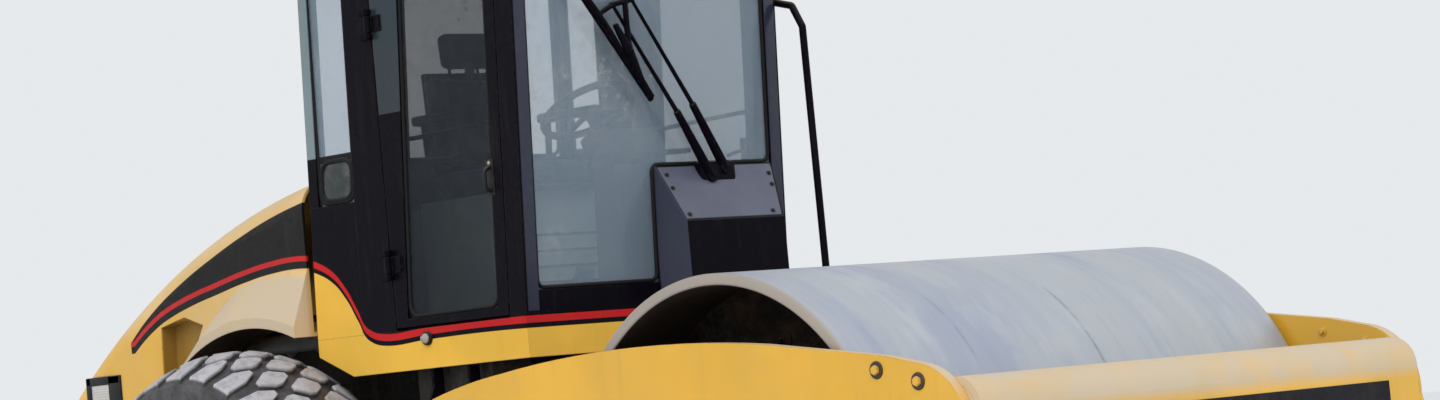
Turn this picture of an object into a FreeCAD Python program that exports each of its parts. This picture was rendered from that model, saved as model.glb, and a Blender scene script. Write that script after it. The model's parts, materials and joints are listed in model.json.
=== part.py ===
import FreeCAD, Part
import math
import os

from FreeCAD import Vector

# A road roller: one smooth steel drum in a yellow yoke frame at the front, and behind it a
# tractor with a glazed cab, a sloping engine hood and two wide tyres. The halves meet at a
# hitch, which steers about an upright pin and rolls about a lengthwise trunnion.
# +X is forward, +Y the driver's left, +Z up. The origin is on the ground, under the middle
# of the machine's length and width. All sizes are in mm, all angles in degrees.

# Overall layout
WHEELBASE = 2930.0
RUNNING_GAP = 0.3               # between a turning shaft and its bore
CLEAR = 6.0                     # between pieces that pass each other

# Drum
DRUM_RADIUS = 767.0
DRUM_WIDTH = 2130.0
DRUM_WALL = 40.0
DRUM_RIM_CHAMFER = 8.0
HEAD_INSET = 330.0              # drum end to the outer face of its head
HEAD_THICK = 30.0
ECCENTRIC_RADIUS = 160.0        # housing of the vibrating weights
JOURNAL_RADIUS = 90.0
DRUM_SIDE_GAP = 25.0            # drum end to side plate

# Drum frame
SIDE_PLATE_THICK = 40.0
PLATE_CROWN = 552.0             # top of a side plate above the drum axle
PLATE_DROP = 222.0              # bottom of a side plate below the drum axle
PLATE_TAIL = 340.0              # side plate behind the rear beam
PORT_RADIUS = 200.0             # opening in each side plate at the axle
CARRIER_RADIUS = 300.0
CARRIER_FLANGE = 30.0
CARRIER_HUB_RADIUS = 150.0
MOTOR_CAP_RADIUS = 120.0
MOTOR_CAP_PROUD = 20.0
BUFFER_RADIUS = 45.0            # rubber buffers round each carrier
BUFFER_CIRCLE = 235.0
BUFFER_LENGTH = 150.0
BUFFER_COUNT = 8
BEAM_WALL = 25.0
FRONT_BEAM_GAP = 313.0          # drum to the front beam
FRONT_BEAM_DEPTH = 120.0
FRONT_BEAM_TOP = 358.0          # above the drum axle
FRONT_BEAM_BOTTOM = -190.0
FRONT_BEAM_ROUND = 100.0
REAR_BEAM_GAP = 93.0            # drum to the rear beam
REAR_BEAM_DEPTH = 200.0
REAR_BEAM_HEIGHT = 480.0
REAR_BEAM_RISE = 50.0           # its middle above the trunnion
SCRAPER_GAP = 8.0
SCRAPER_THICK = 18.0
SCRAPER_RISE = 150.0            # above the drum axle
TRUNNION_RADIUS = 80.0
TRUNNION_LENGTH = 240.0

# Hitch and steering
HITCH_DROP = 17.0               # drum axle down to the trunnion
COLUMN_SETBACK = 150.0          # trunnion's end to the steering pin
COLUMN_RADIUS = 125.0
SLEEVE_RADIUS = 140.0
PIN_RADIUS = 50.0
PIN_PROUD = 15.0
EAR_THICK = 40.0
EAR_RADIUS = 110.0
COLUMN_HEIGHT = 488.0
NECK_HALF = 180.0
NECK_ROOT_HALF = 230.0
NECK_LENGTH = 450.0
NECK_SETBACK = 150.0            # steering pin to the neck's front face
STEER_EYE = (150.0, 250.0)      # rod eye ahead of the steering pin, and to its side
STEER_ANCHOR = (-500.0, 330.0)  # barrel pin, measured alike
STEER_DROP = 30.0               # trunnion down to the cylinders
STEER_ARM_WIDTH = 120.0
BARREL_RADIUS = 42.0
BARREL_LENGTH = 420.0
BARREL_WALL = 12.0
BARREL_FOOT = 85.0              # barrel pin to the bore's closed end
BARREL_CAP = 30.0
ROD_RADIUS = 22.0
ROD_LENGTH = 408.0
ROD_EYE_RADIUS = 45.0
STEER_PIN_RADIUS = 25.0
STEER_EAR = 32.0

# Tractor frame. Heights on the tractor are measured up from the rear axle.
RAIL_INNER = 300.0
RAIL_THICK = 80.0
RAIL_RISE = 190.0               # axle to the underside of the rails
RAIL_HEIGHT = 220.0
CROSSMEMBER_DEPTH = 150.0
CROSSMEMBER_DROP = 290.0        # below the rails
POST_RADIUS = 40.0              # rubber-mounted posts under the cab
POST_AHEAD = 70.0               # behind the chamfer under the cab's rear corner
COUNTERWEIGHT_WIDTH = 1120.0
COUNTERWEIGHT_DEPTH = 200.0
COUNTERWEIGHT_HEIGHT = 480.0
COUNTERWEIGHT_DROP = 140.0      # axle to its underside
COUNTERWEIGHT_PROUD = 90.5      # behind the hood
COUNTERWEIGHT_ROUND = 80.0
COUNTERWEIGHT_BEVEL = 110.0
TOW_EYE_REACH = 110.0
TOW_EYE_RADIUS = 50.0
TOW_HOLE_RADIUS = 25.0
TOW_EYE_THICK = 40.0
TOW_EYE_RISE = 20.0             # above the axle
ENGINE_LENGTH = 850.0
ENGINE_HEIGHT = 640.0
ENGINE_AHEAD = 60.0             # axle to the engine's front
ENGINE_SEAT = 30.0              # rails' underside to the engine's
TANK_SETBACK = 295.0            # cab's front to the tanks' front
TANK_LENGTH = 430.0
TANK_INNER = 400.0
TANK_OUTER = 590.0
TANK_DROP = 50.0                # below the rails' underside
TANK_ROUND = 40.0
STEP_SETBACK = 355.0            # cab's front to the steps' front
STEP_WIDTH = 220.0
STEP_STRAP = 12.0
STEP_TREAD_THICK = 30.0
STEP_INNER = 640.0
STEP_OUTER = 790.0
STEP_DROPS = (885.0, 515.0)     # cab's underside down to each tread's underside

# Rear axle and wheels
TYRE_RADIUS = 740.0
TYRE_WIDTH = 570.0
TYRE_CENTRE = 820.0
BEAD_RADIUS = 330.0
LUG_COUNT = 27                  # round each of the five rows
LUG_HALF_LENGTH = 62.0
LUG_HALF_WIDTH = 78.0
LUG_ROW = 100.0                 # from one row to the next
LUG_DEPTH = 24.0
LUG_CROWN = 14.0                # outer rows lie this much lower
RIM_WALL = 15.0
RIM_HALF = 240.0
RIM_FLANGE = 15.0
WHEEL_HUB_RADIUS = 140.0
SPINDLE_RADIUS = 70.0
AXLE_HALF = 500.0
AXLE_TUBE_RADIUS = 95.0
AXLE_FLANGE = 10.0
DIFFERENTIAL_RADIUS = 190.0
AXLE_SEAT_HALF = 90.0

# Cab
CAB_AHEAD = 337.0               # rear axle to the cab's rear
CAB_LENGTH = 1218.0
CAB_WIDTH = 1320.0
CAB_RISE = 595.0                # axle to the cab's underside
CAB_CORNER = 200.0              # length of the chamfer over the tyre
CAB_TYRE_GAP = 20.0
FLOOR_THICK = 150.0
BELT_RISE = 500.0               # floor to the lower edge of the quarter glass
REAR_BELT_RISE = 665.0
HEADROOM = 1415.0
ROOF_THICK = 170.0
ROOF_FRONT_OVERHANG = 95.0
ROOF_REAR_OVERHANG = 130.0
ROOF_SIDE_OVERHANG = 50.0
ROOF_CORNER_ROUND = 90.0
ROOF_ROUND = 40.0
ROOF_PANEL_RISE = 22.0
ROOF_PANEL_INSET = 105.0
WALL = 50.0
PILLAR_DEPTH = 60.0
GLASS = 8.0
GLASS_INSET = 12.0
FRONT_LEAN = 82.0               # the windscreen's top is this far ahead of its foot
REAR_LEAN = 60.0
B_PILLAR = 150.0
B_PILLAR_FLARE = 50.0
C_PILLAR = 50.0
SILL_HEIGHT = 90.0
DOOR_FRONT = 95.0               # door edges behind the cab's front, at the floor
DOOR_REAR = 737.0
DOOR_GAP = 6.0
DOOR_THICK = 40.0
DOOR_FOOT = 10.0                # floor to the door's lower edge
DOOR_HEAD = 20.0                # door's upper edge to the roof
DOOR_FRAME_FRONT = 58.0
DOOR_FRAME_REAR = 67.0
DOOR_FRAME_REAR_TOP = 170.0
DOOR_FRAME_FOOT = 30.0
DOOR_FRAME_HEAD = 60.0
HINGE_OFFSET = 16.0             # hinge line outside the door's face
HINGE_RISES = (215.0, 1115.0)   # floor to each hinge
HINGE_PIN = 8.0
HINGE_LEAF = 60.0
KNUCKLE_RADIUS = 14.0
KNUCKLE_HEIGHT = 60.0
CONSOLE_RISE = 515.0            # floor to where the sloping lid meets the windscreen
CONSOLE_SLOPE = 215.0
CONSOLE_REACH = 175.0
CONSOLE_FOOT = 15.0
RAIL_TUBE = 14.0
RAIL_STANDOFF = 16.0
RAIL_BEND = 16.0
LAMP_HALF = 60.0
LAMP_HEIGHT = 75.0
LAMP_DEPTH = 60.0
LAMP_REACH = 75.0               # cab's front or rear to a lamp's face
LAMP_SETBACK = 180.0            # cab's side to the middle of a lamp
SEAT_AHEAD = 240.0              # cab's rear to the seat
SEAT_HALF = 250.0
SEAT_HEIGHT = 605.0             # floor to the top of the cushion
CUSHION_THICK = 120.0
BACK_HEIGHT = 550.0
STEER_WHEEL_SETBACK = 300.0
STEER_WHEEL_RISE = 765.0
STEER_WHEEL_RADIUS = 185.0
STEER_WHEEL_TILT = 27.0
STEER_WHEEL_GRIP = 14.0

# Hood
HOOD_GAP = 32.0
HOOD_RISE = 608.0               # cab floor to the top of the hood's front
HOOD_START_SLOPE = 8.5
HOOD_TOP_RADIUS = 3550.0
HOOD_TAIL_UPRIGHT = 10.0        # skirt's lower edge to where the tail's round starts
HOOD_TAIL_RADIUS = 343.0
HOOD_SKIRT = 60.0               # below the top of the rails
HOOD_SKIN = 12.0
HOOD_SHOULDER = 110.0
ARCH_GAP = 80.0                 # tyre to arch
ARCH_BAND = 15.0
WELL_INNER = 500.0              # inner face of the wheel well
FENDER_PROUD = 85.0
FENDER_LIP = 40.0
HOOD_HINGE_RADIUS = 15.0
HOOD_EAR_RADIUS = 28.0
HOOD_EAR_Y = 470.0
GRILLE_HALF = 430.0
GRILLE_HEIGHT = 180.0
GRILLE_RISE = 60.0              # skirt to the grille
GRILLE_SLATS = 6
GRILLE_SLOT = 8.0
TAIL_LAMP_AHEAD = 295.0         # hood's rear to the lamp's rear
TAIL_LAMP_LENGTH = 185.0
TAIL_LAMP_HEIGHT = 155.0
TAIL_LAMP_RISE = 200.0          # skirt to the lamp

# Crease over each fender, as (distance behind the hood's front, height above the lip's top).
FENDER_CREASE = ((0.0, 168.0), (190.0, 176.0), (430.0, 142.0), (600.0, 40.0))


def sine(angle):
    return math.sin(math.radians(angle))


def cosine(angle):
    return math.cos(math.radians(angle))


HITCH_HEIGHT = DRUM_RADIUS - HITCH_DROP
STEER_HEIGHT = HITCH_HEIGHT - STEER_DROP
FRONT_REACH = DRUM_RADIUS + FRONT_BEAM_GAP + FRONT_BEAM_DEPTH
REAR_REACH = DRUM_RADIUS + REAR_BEAM_GAP + REAR_BEAM_DEPTH
AXLE_Z = TYRE_RADIUS
RAIL_BOTTOM = AXLE_Z + RAIL_RISE
RAIL_TOP = RAIL_BOTTOM + RAIL_HEIGHT
CAB_BOTTOM = AXLE_Z + CAB_RISE
FLOOR_TOP = CAB_BOTTOM + FLOOR_THICK
HOOD_FRONT_TOP = FLOOR_TOP + HOOD_RISE
HOOD_BOTTOM = RAIL_TOP - HOOD_SKIRT

# The hood's top falls to its tail on one arc, then a tighter one turns it upright.
HOOD_DROP = HOOD_FRONT_TOP - HOOD_BOTTOM - HOOD_TAIL_UPRIGHT
HOOD_END_SLOPE = math.degrees(math.acos(
    (HOOD_TOP_RADIUS * cosine(HOOD_START_SLOPE) - HOOD_DROP)
    / (HOOD_TOP_RADIUS - HOOD_TAIL_RADIUS)))
HOOD_LENGTH = (HOOD_TOP_RADIUS * (sine(HOOD_END_SLOPE) - sine(HOOD_START_SLOPE))
               + HOOD_TAIL_RADIUS * (1 - sine(HOOD_END_SLOPE)))
REAR_OVERHANG = HOOD_LENGTH + HOOD_GAP - CAB_AHEAD + COUNTERWEIGHT_PROUD + TOW_EYE_REACH

DRUM_X = (WHEELBASE + FRONT_REACH + REAR_OVERHANG) / 2 - FRONT_REACH
DRUM_Z = DRUM_RADIUS
AXLE_X = DRUM_X - WHEELBASE
PIVOT_X = DRUM_X - REAR_REACH - TRUNNION_LENGTH - COLUMN_SETBACK
PLATE_IN = DRUM_WIDTH / 2 + DRUM_SIDE_GAP
PLATE_OUT = PLATE_IN + SIDE_PLATE_THICK
HEAD_OUT = DRUM_WIDTH / 2 - HEAD_INSET
CROSSMEMBER_X = PIVOT_X - NECK_SETBACK - NECK_LENGTH
CAB_REAR_X = AXLE_X + CAB_AHEAD
CAB_FRONT_X = CAB_REAR_X + CAB_LENGTH
CAB_HALF = CAB_WIDTH / 2
BELT_TOP = FLOOR_TOP + BELT_RISE
REAR_BELT_TOP = FLOOR_TOP + REAR_BELT_RISE
ROOF_BOTTOM = FLOOR_TOP + HEADROOM
CONSOLE_TOP = FLOOR_TOP + CONSOLE_RISE
PILLAR_IN = CAB_HALF - PILLAR_DEPTH
DOOR_REAR_X = CAB_FRONT_X - DOOR_REAR
ARCH_RADIUS = TYRE_RADIUS + ARCH_GAP
HOOD_FRONT_X = CAB_REAR_X - HOOD_GAP
HOOD_REAR_X = HOOD_FRONT_X - HOOD_LENGTH
HOOD_HINGE_X = HOOD_FRONT_X - 30.0
HOOD_HINGE_Z = HOOD_FRONT_TOP - 55.0
TAIL_X = HOOD_REAR_X - COUNTERWEIGHT_PROUD
TYRE_BASE = TYRE_RADIUS - LUG_DEPTH


def box(x0, x1, y0, y1, z0, z1):
    return Part.makeBox(x1 - x0, y1 - y0, z1 - z0, Vector(x0, y0, z0))


def rod_y(radius, x, z, y0, y1):
    return Part.makeCylinder(radius, y1 - y0, Vector(x, y0, z), Vector(0, 1, 0))


def rod_x(radius, y, z, x0, x1):
    return Part.makeCylinder(radius, x1 - x0, Vector(x0, y, z), Vector(1, 0, 0))


def rod_z(radius, x, y, z0, z1):
    return Part.makeCylinder(radius, z1 - z0, Vector(x, y, z0))


def outline_face(rows, place):
    """A flat face. A row is (u, v), or (mid u, mid v, u, v) where an arc leads to it."""
    edges = []
    last = rows[0]
    for row in tuple(rows[1:]) + (rows[0],):
        start, end = place(*last[-2:]), place(*row[-2:])
        if start.distanceToPoint(end) > 1e-6:
            if len(row) == 4:
                edges.append(Part.Arc(start, place(*row[:2]), end).toShape())
            else:
                edges.append(Part.makeLine(start, end))
        last = row
    return Part.Face(Part.Wire(edges))


def side_prism(rows, y0, y1):
    """Extrude an outline of (x, z) rows across the machine."""
    return outline_face(rows, lambda x, z: Vector(x, y0, z)).extrude(Vector(0, y1 - y0, 0))


def front_prism(rows, x0, x1):
    """Extrude an outline of (y, z) rows along the machine."""
    return outline_face(rows, lambda y, z: Vector(x0, y, z)).extrude(Vector(x1 - x0, 0, 0))


def plan_prism(rows, z0, z1):
    """Extrude an outline of (x, y) rows upwards."""
    return outline_face(rows, lambda x, y: Vector(x, y, z0)).extrude(Vector(0, 0, z1 - z0))


def turned_y(rows, x, z):
    """Turn a profile of (y, radius) rows about a cross axis."""
    face = outline_face(rows, lambda y, radius: Vector(x, y, z + radius))
    return face.revolve(Vector(x, 0, z), Vector(0, 1, 0), 360)


def moved_rows(rows, du, dv):
    """The same outline, with (du, dv) added to each of its points."""
    return tuple(tuple(value + (du, dv)[i % 2] for i, value in enumerate(row)) for row in rows)


def mirrored(shape):
    return shape.mirror(Vector(0, 0, 0), Vector(0, 1, 0))


def both_sides(shape):
    return [shape, mirrored(shape)]


def tube(points, radius, bend):
    """A round bar through the points, of straight runs and a round bend at each inner point."""
    points = [Vector(*point) for point in points]
    start = points[0]
    pieces = []
    for before, corner, after in zip(points, points[1:], points[2:]):
        back = (before - corner).normalize()
        ahead = (after - corner).normalize()
        half = back.getAngle(ahead) / 2
        reach = bend / math.tan(half)
        foot = corner + back * reach
        centre = corner + (back + ahead).normalize() * (bend / math.sin(half))
        pieces.append(Part.makeCylinder(radius, (foot - start).Length, start, foot - start))
        disc = Part.Face(Part.Wire(Part.makeCircle(radius, foot, back)))
        turn = 180 - 2 * math.degrees(half)
        pieces.append(disc.revolve(centre, ahead.cross(back), turn))
        start = corner + ahead * reach
    last = points[-1]
    pieces.append(Part.makeCylinder(radius, (last - start).Length, start, last - start))
    return pieces[0].fuse(pieces[1:]).removeSplitter()


def save(name, *shapes):
    shape = shapes[0] if len(shapes) == 1 else Part.makeCompound(list(shapes))
    shape.exportStep("parts/" + name + ".step")


def make_drum():
    end = DRUM_WIDTH / 2
    bore = DRUM_RADIUS - DRUM_WALL
    bevel = DRUM_RIM_CHAMFER
    shell = turned_y(((-end, bore), (-end, DRUM_RADIUS - bevel), (-end + bevel, DRUM_RADIUS),
                      (end - bevel, DRUM_RADIUS), (end, DRUM_RADIUS - bevel), (end, bore)),
                     DRUM_X, DRUM_Z)
    save("drum_shell", shell)
    seat = bore - RUNNING_GAP
    inner = HEAD_OUT - HEAD_THICK
    tip = PLATE_IN - CLEAR
    half = ((inner, ECCENTRIC_RADIUS), (inner, seat), (HEAD_OUT, seat),
            (HEAD_OUT, JOURNAL_RADIUS), (tip, JOURNAL_RADIUS), (tip, 0.0))
    rows = tuple((-y, radius) for y, radius in reversed(half)) + half
    save("drum_heads", turned_y(rows, DRUM_X, DRUM_Z))


def side_plate_outline():
    """Side view of a yoke plate, in (x, z) rows from its tail, nose, crown and lower edge."""
    tail, nose = -REAR_REACH - PLATE_TAIL, FRONT_REACH
    crown, low = PLATE_CROWN, -PLATE_DROP
    rows = ((tail, crown - 252), (tail + 30, crown - 104),
            (tail + 220, crown - 65, tail + 413, crown - 40),
            (-361, crown, 311, crown - 35), (nose - 359, crown - 109), (nose - 191, crown - 146),
            (nose - 65, crown - 232, nose - 22, crown - 392),
            (nose - 4, crown - 512, nose - 20, low + 132),
            (nose - 55, low + 32, nose - 160, low + 15), (tail + 520, low),
            (tail + 130, low + 72, tail + 5, low + 282))
    return moved_rows(rows, DRUM_X, DRUM_Z)


def make_drum_frame():
    plate = side_prism(side_plate_outline(), PLATE_IN, PLATE_OUT)
    plate = plate.cut(rod_y(PORT_RADIUS, DRUM_X, DRUM_Z, PLATE_IN - 1, PLATE_OUT + 1))
    save("side_plate_left", plate)
    save("side_plate_right", mirrored(plate))

    # Each carrier bolts to its plate from inside and holds a journal of the drum.
    hub_end = HEAD_OUT + CLEAR
    bore = JOURNAL_RADIUS + RUNNING_GAP
    cap_out = PLATE_OUT + MOTOR_CAP_PROUD
    flange = PLATE_IN - CARRIER_FLANGE
    cone = flange - 80
    carrier = turned_y(((hub_end, bore), (hub_end, CARRIER_HUB_RADIUS),
                        (cone, CARRIER_HUB_RADIUS + 20), (flange, CARRIER_RADIUS),
                        (PLATE_IN, CARRIER_RADIUS), (PLATE_IN, MOTOR_CAP_RADIUS),
                        (cap_out, MOTOR_CAP_RADIUS), (cap_out, 0.0), (PLATE_IN, 0.0),
                        (PLATE_IN, bore)), DRUM_X, DRUM_Z)
    buffer_y = flange - BUFFER_LENGTH
    buffers = []
    for i in range(BUFFER_COUNT):
        angle = 2 * math.pi * (i + 0.5) / BUFFER_COUNT
        x, z = DRUM_X + BUFFER_CIRCLE * math.cos(angle), DRUM_Z + BUFFER_CIRCLE * math.sin(angle)
        buffers.append(rod_y(BUFFER_RADIUS, x, z, buffer_y, flange + 1))
    save("drum_carriers", *both_sides(carrier.fuse(buffers)))

    front = DRUM_X + FRONT_REACH
    back = front - FRONT_BEAM_DEPTH
    top = DRUM_Z + FRONT_BEAM_TOP
    bottom = DRUM_Z + FRONT_BEAM_BOTTOM
    nose = FRONT_BEAM_ROUND
    inner_nose = nose - BEAM_WALL
    corner = nose * (1 - math.sqrt(0.5))
    inner_corner = inner_nose * (1 - math.sqrt(0.5))
    wall = BEAM_WALL

    # A channel, open to the drum, with its two front corners rounded.
    channel = ((back, bottom), (front - nose, bottom),
               (front - corner, bottom + corner, front, bottom + nose), (front, top - nose),
               (front - corner, top - corner, front - nose, top), (back, top),
               (back, top - wall), (front - wall - inner_nose, top - wall),
               (front - wall - inner_corner, top - wall - inner_corner,
                front - wall, top - wall - inner_nose),
               (front - wall, bottom + wall + inner_nose),
               (front - wall - inner_corner, bottom + wall + inner_corner,
                front - wall - inner_nose, bottom + wall), (back, bottom + wall))
    save("front_beam", side_prism(channel, -PLATE_IN, PLATE_IN))

    near = DRUM_X - DRUM_RADIUS - REAR_BEAM_GAP
    far = near - REAR_BEAM_DEPTH
    middle = HITCH_HEIGHT + REAR_BEAM_RISE
    low, high = middle - REAR_BEAM_HEIGHT / 2, middle + REAR_BEAM_HEIGHT / 2
    bevel = REAR_BEAM_DEPTH / 4
    rear_beam = side_prism(((far, low + bevel), (far, high - bevel), (far + bevel, high),
                            (near, high), (near, low), (far + bevel, low)), -PLATE_IN, PLATE_IN)
    trunnion = rod_x(TRUNNION_RADIUS, 0, HITCH_HEIGHT, far - TRUNNION_LENGTH, far)
    save("rear_beam", rear_beam.fuse(trunnion))

    reach = math.sqrt((DRUM_RADIUS + SCRAPER_GAP) ** 2 - SCRAPER_RISE ** 2)
    half = DRUM_WIDTH / 2
    low = DRUM_Z + SCRAPER_RISE - SCRAPER_THICK
    scrapers = [box(DRUM_X + reach, front - BEAM_WALL, -half, half, low, low + SCRAPER_THICK),
                box(near, DRUM_X - reach, -half, half, low, low + SCRAPER_THICK)]
    save("scrapers", *scrapers)


def make_hitch():
    ear_top = HITCH_HEIGHT + COLUMN_HEIGHT / 2 + CLEAR
    ear_bottom = HITCH_HEIGHT - COLUMN_HEIGHT / 2 - CLEAR
    column = rod_z(COLUMN_RADIUS, PIVOT_X, 0, ear_bottom + CLEAR, ear_top - CLEAR)
    beam_back = DRUM_X - REAR_REACH
    sleeve = rod_x(SLEEVE_RADIUS, 0, HITCH_HEIGHT, PIVOT_X, beam_back - 15)
    arm_top = STEER_HEIGHT - BARREL_RADIUS - CLEAR
    ahead, aside = STEER_EYE
    width = STEER_ARM_WIDTH / 2
    arms = box(PIVOT_X + ahead - width, PIVOT_X + ahead + width, -aside, aside,
               arm_top - STEER_EAR, arm_top)
    tips = [rod_z(width, PIVOT_X + ahead, side * aside, arm_top - STEER_EAR, arm_top)
            for side in (-1, 1)]
    yoke = column.fuse([sleeve, arms] + tips)
    yoke = yoke.cut(rod_z(PIN_RADIUS + RUNNING_GAP, PIVOT_X, 0, ear_bottom, ear_top))
    bore_end = beam_back - TRUNNION_LENGTH - CLEAR
    yoke = yoke.cut(rod_x(TRUNNION_RADIUS + RUNNING_GAP, 0, HITCH_HEIGHT, bore_end, beam_back))
    save("hitch_yoke", yoke)

    neck_front = PIVOT_X - NECK_SETBACK
    neck = plan_prism(((CROSSMEMBER_X, -NECK_ROOT_HALF), (neck_front, -NECK_HALF),
                       (neck_front, NECK_HALF), (CROSSMEMBER_X, NECK_ROOT_HALF)),
                      ear_bottom - EAR_THICK, ear_top + EAR_THICK)
    ear = plan_prism(((neck_front, -NECK_HALF), (PIVOT_X, -EAR_RADIUS),
                      (PIVOT_X + EAR_RADIUS, 0, PIVOT_X, EAR_RADIUS),
                      (neck_front, NECK_HALF)), ear_top, ear_top + EAR_THICK)
    low_ear = ear.translated(Vector(0, 0, ear_bottom - EAR_THICK - ear_top))
    pin_reach = EAR_THICK + PIN_PROUD
    pin = rod_z(PIN_RADIUS, PIVOT_X, 0, ear_bottom - pin_reach, ear_top + pin_reach)
    half = RAIL_INNER + RAIL_THICK
    foot = RAIL_BOTTOM - CROSSMEMBER_DROP
    cross = front_prism(((-half, RAIL_BOTTOM), (-NECK_ROOT_HALF - 40, foot),
                         (NECK_ROOT_HALF + 40, foot), (half, RAIL_BOTTOM), (half, RAIL_TOP),
                         (-half, RAIL_TOP)), CROSSMEMBER_X - CROSSMEMBER_DEPTH, CROSSMEMBER_X)
    anchor_x, anchor_y = PIVOT_X + STEER_ANCHOR[0], STEER_ANCHOR[1]
    pieces = [ear, low_ear, pin, cross]
    lug_low = STEER_HEIGHT - BARREL_RADIUS - CLEAR - STEER_EAR
    lug_high = STEER_HEIGHT + BARREL_RADIUS + CLEAR
    for side in (-1, 1):
        y = side * anchor_y
        pieces.append(box(CROSSMEMBER_X - CROSSMEMBER_DEPTH, CROSSMEMBER_X, y - ROD_EYE_RADIUS,
                          y + ROD_EYE_RADIUS, lug_low, RAIL_BOTTOM + 1))
        for z in (lug_low, lug_high):
            pieces.append(box(CROSSMEMBER_X - 1, anchor_x, y - ROD_EYE_RADIUS,
                              y + ROD_EYE_RADIUS, z, z + STEER_EAR))
            pieces.append(rod_z(ROD_EYE_RADIUS, anchor_x, y, z, z + STEER_EAR))
        pieces.append(rod_z(STEER_PIN_RADIUS, anchor_x, y, lug_low, lug_high + STEER_EAR))
    save("hitch_frame", neck.fuse(pieces).removeSplitter())


def make_steering_cylinders():
    """Each barrel swings on the tractor, and its rod reaches to the yoke's arm."""
    ahead = STEER_EYE[0] - STEER_ANCHOR[0]
    aside = STEER_EYE[1] - STEER_ANCHOR[1]
    length = math.hypot(ahead, aside)
    turn = math.degrees(math.atan2(aside, ahead))
    bottom, top = -BARREL_RADIUS, BARREL_RADIUS
    mouth = BARREL_LENGTH - BARREL_CAP
    barrel = rod_x(BARREL_RADIUS, 0, 0, 0, BARREL_LENGTH)
    barrel = barrel.fuse(rod_z(ROD_EYE_RADIUS, 0, 0, bottom, top))
    barrel = barrel.cut(rod_z(STEER_PIN_RADIUS + RUNNING_GAP, 0, 0, bottom - 1, top + 1))
    barrel = barrel.cut(rod_x(BARREL_RADIUS - BARREL_WALL, 0, 0, BARREL_FOOT, mouth))
    barrel = barrel.cut(rod_x(ROD_RADIUS + RUNNING_GAP, 0, 0, BARREL_FOOT, BARREL_LENGTH + 1))
    rod = rod_x(ROD_RADIUS, 0, 0, length - ROD_LENGTH, length)
    rod = rod.fuse(rod_z(ROD_EYE_RADIUS, length, 0, bottom, top))
    for side, name in ((1, "left"), (-1, "right")):
        for shape, piece in ((barrel, "steering_barrel_"), (rod, "steering_rod_")):
            placed = shape.copy()
            placed.rotate(Vector(0, 0, 0), Vector(0, 0, 1), turn)
            placed.translate(Vector(PIVOT_X + STEER_ANCHOR[0], STEER_ANCHOR[1], STEER_HEIGHT))
            save(piece + name, placed if side > 0 else mirrored(placed))


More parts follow.
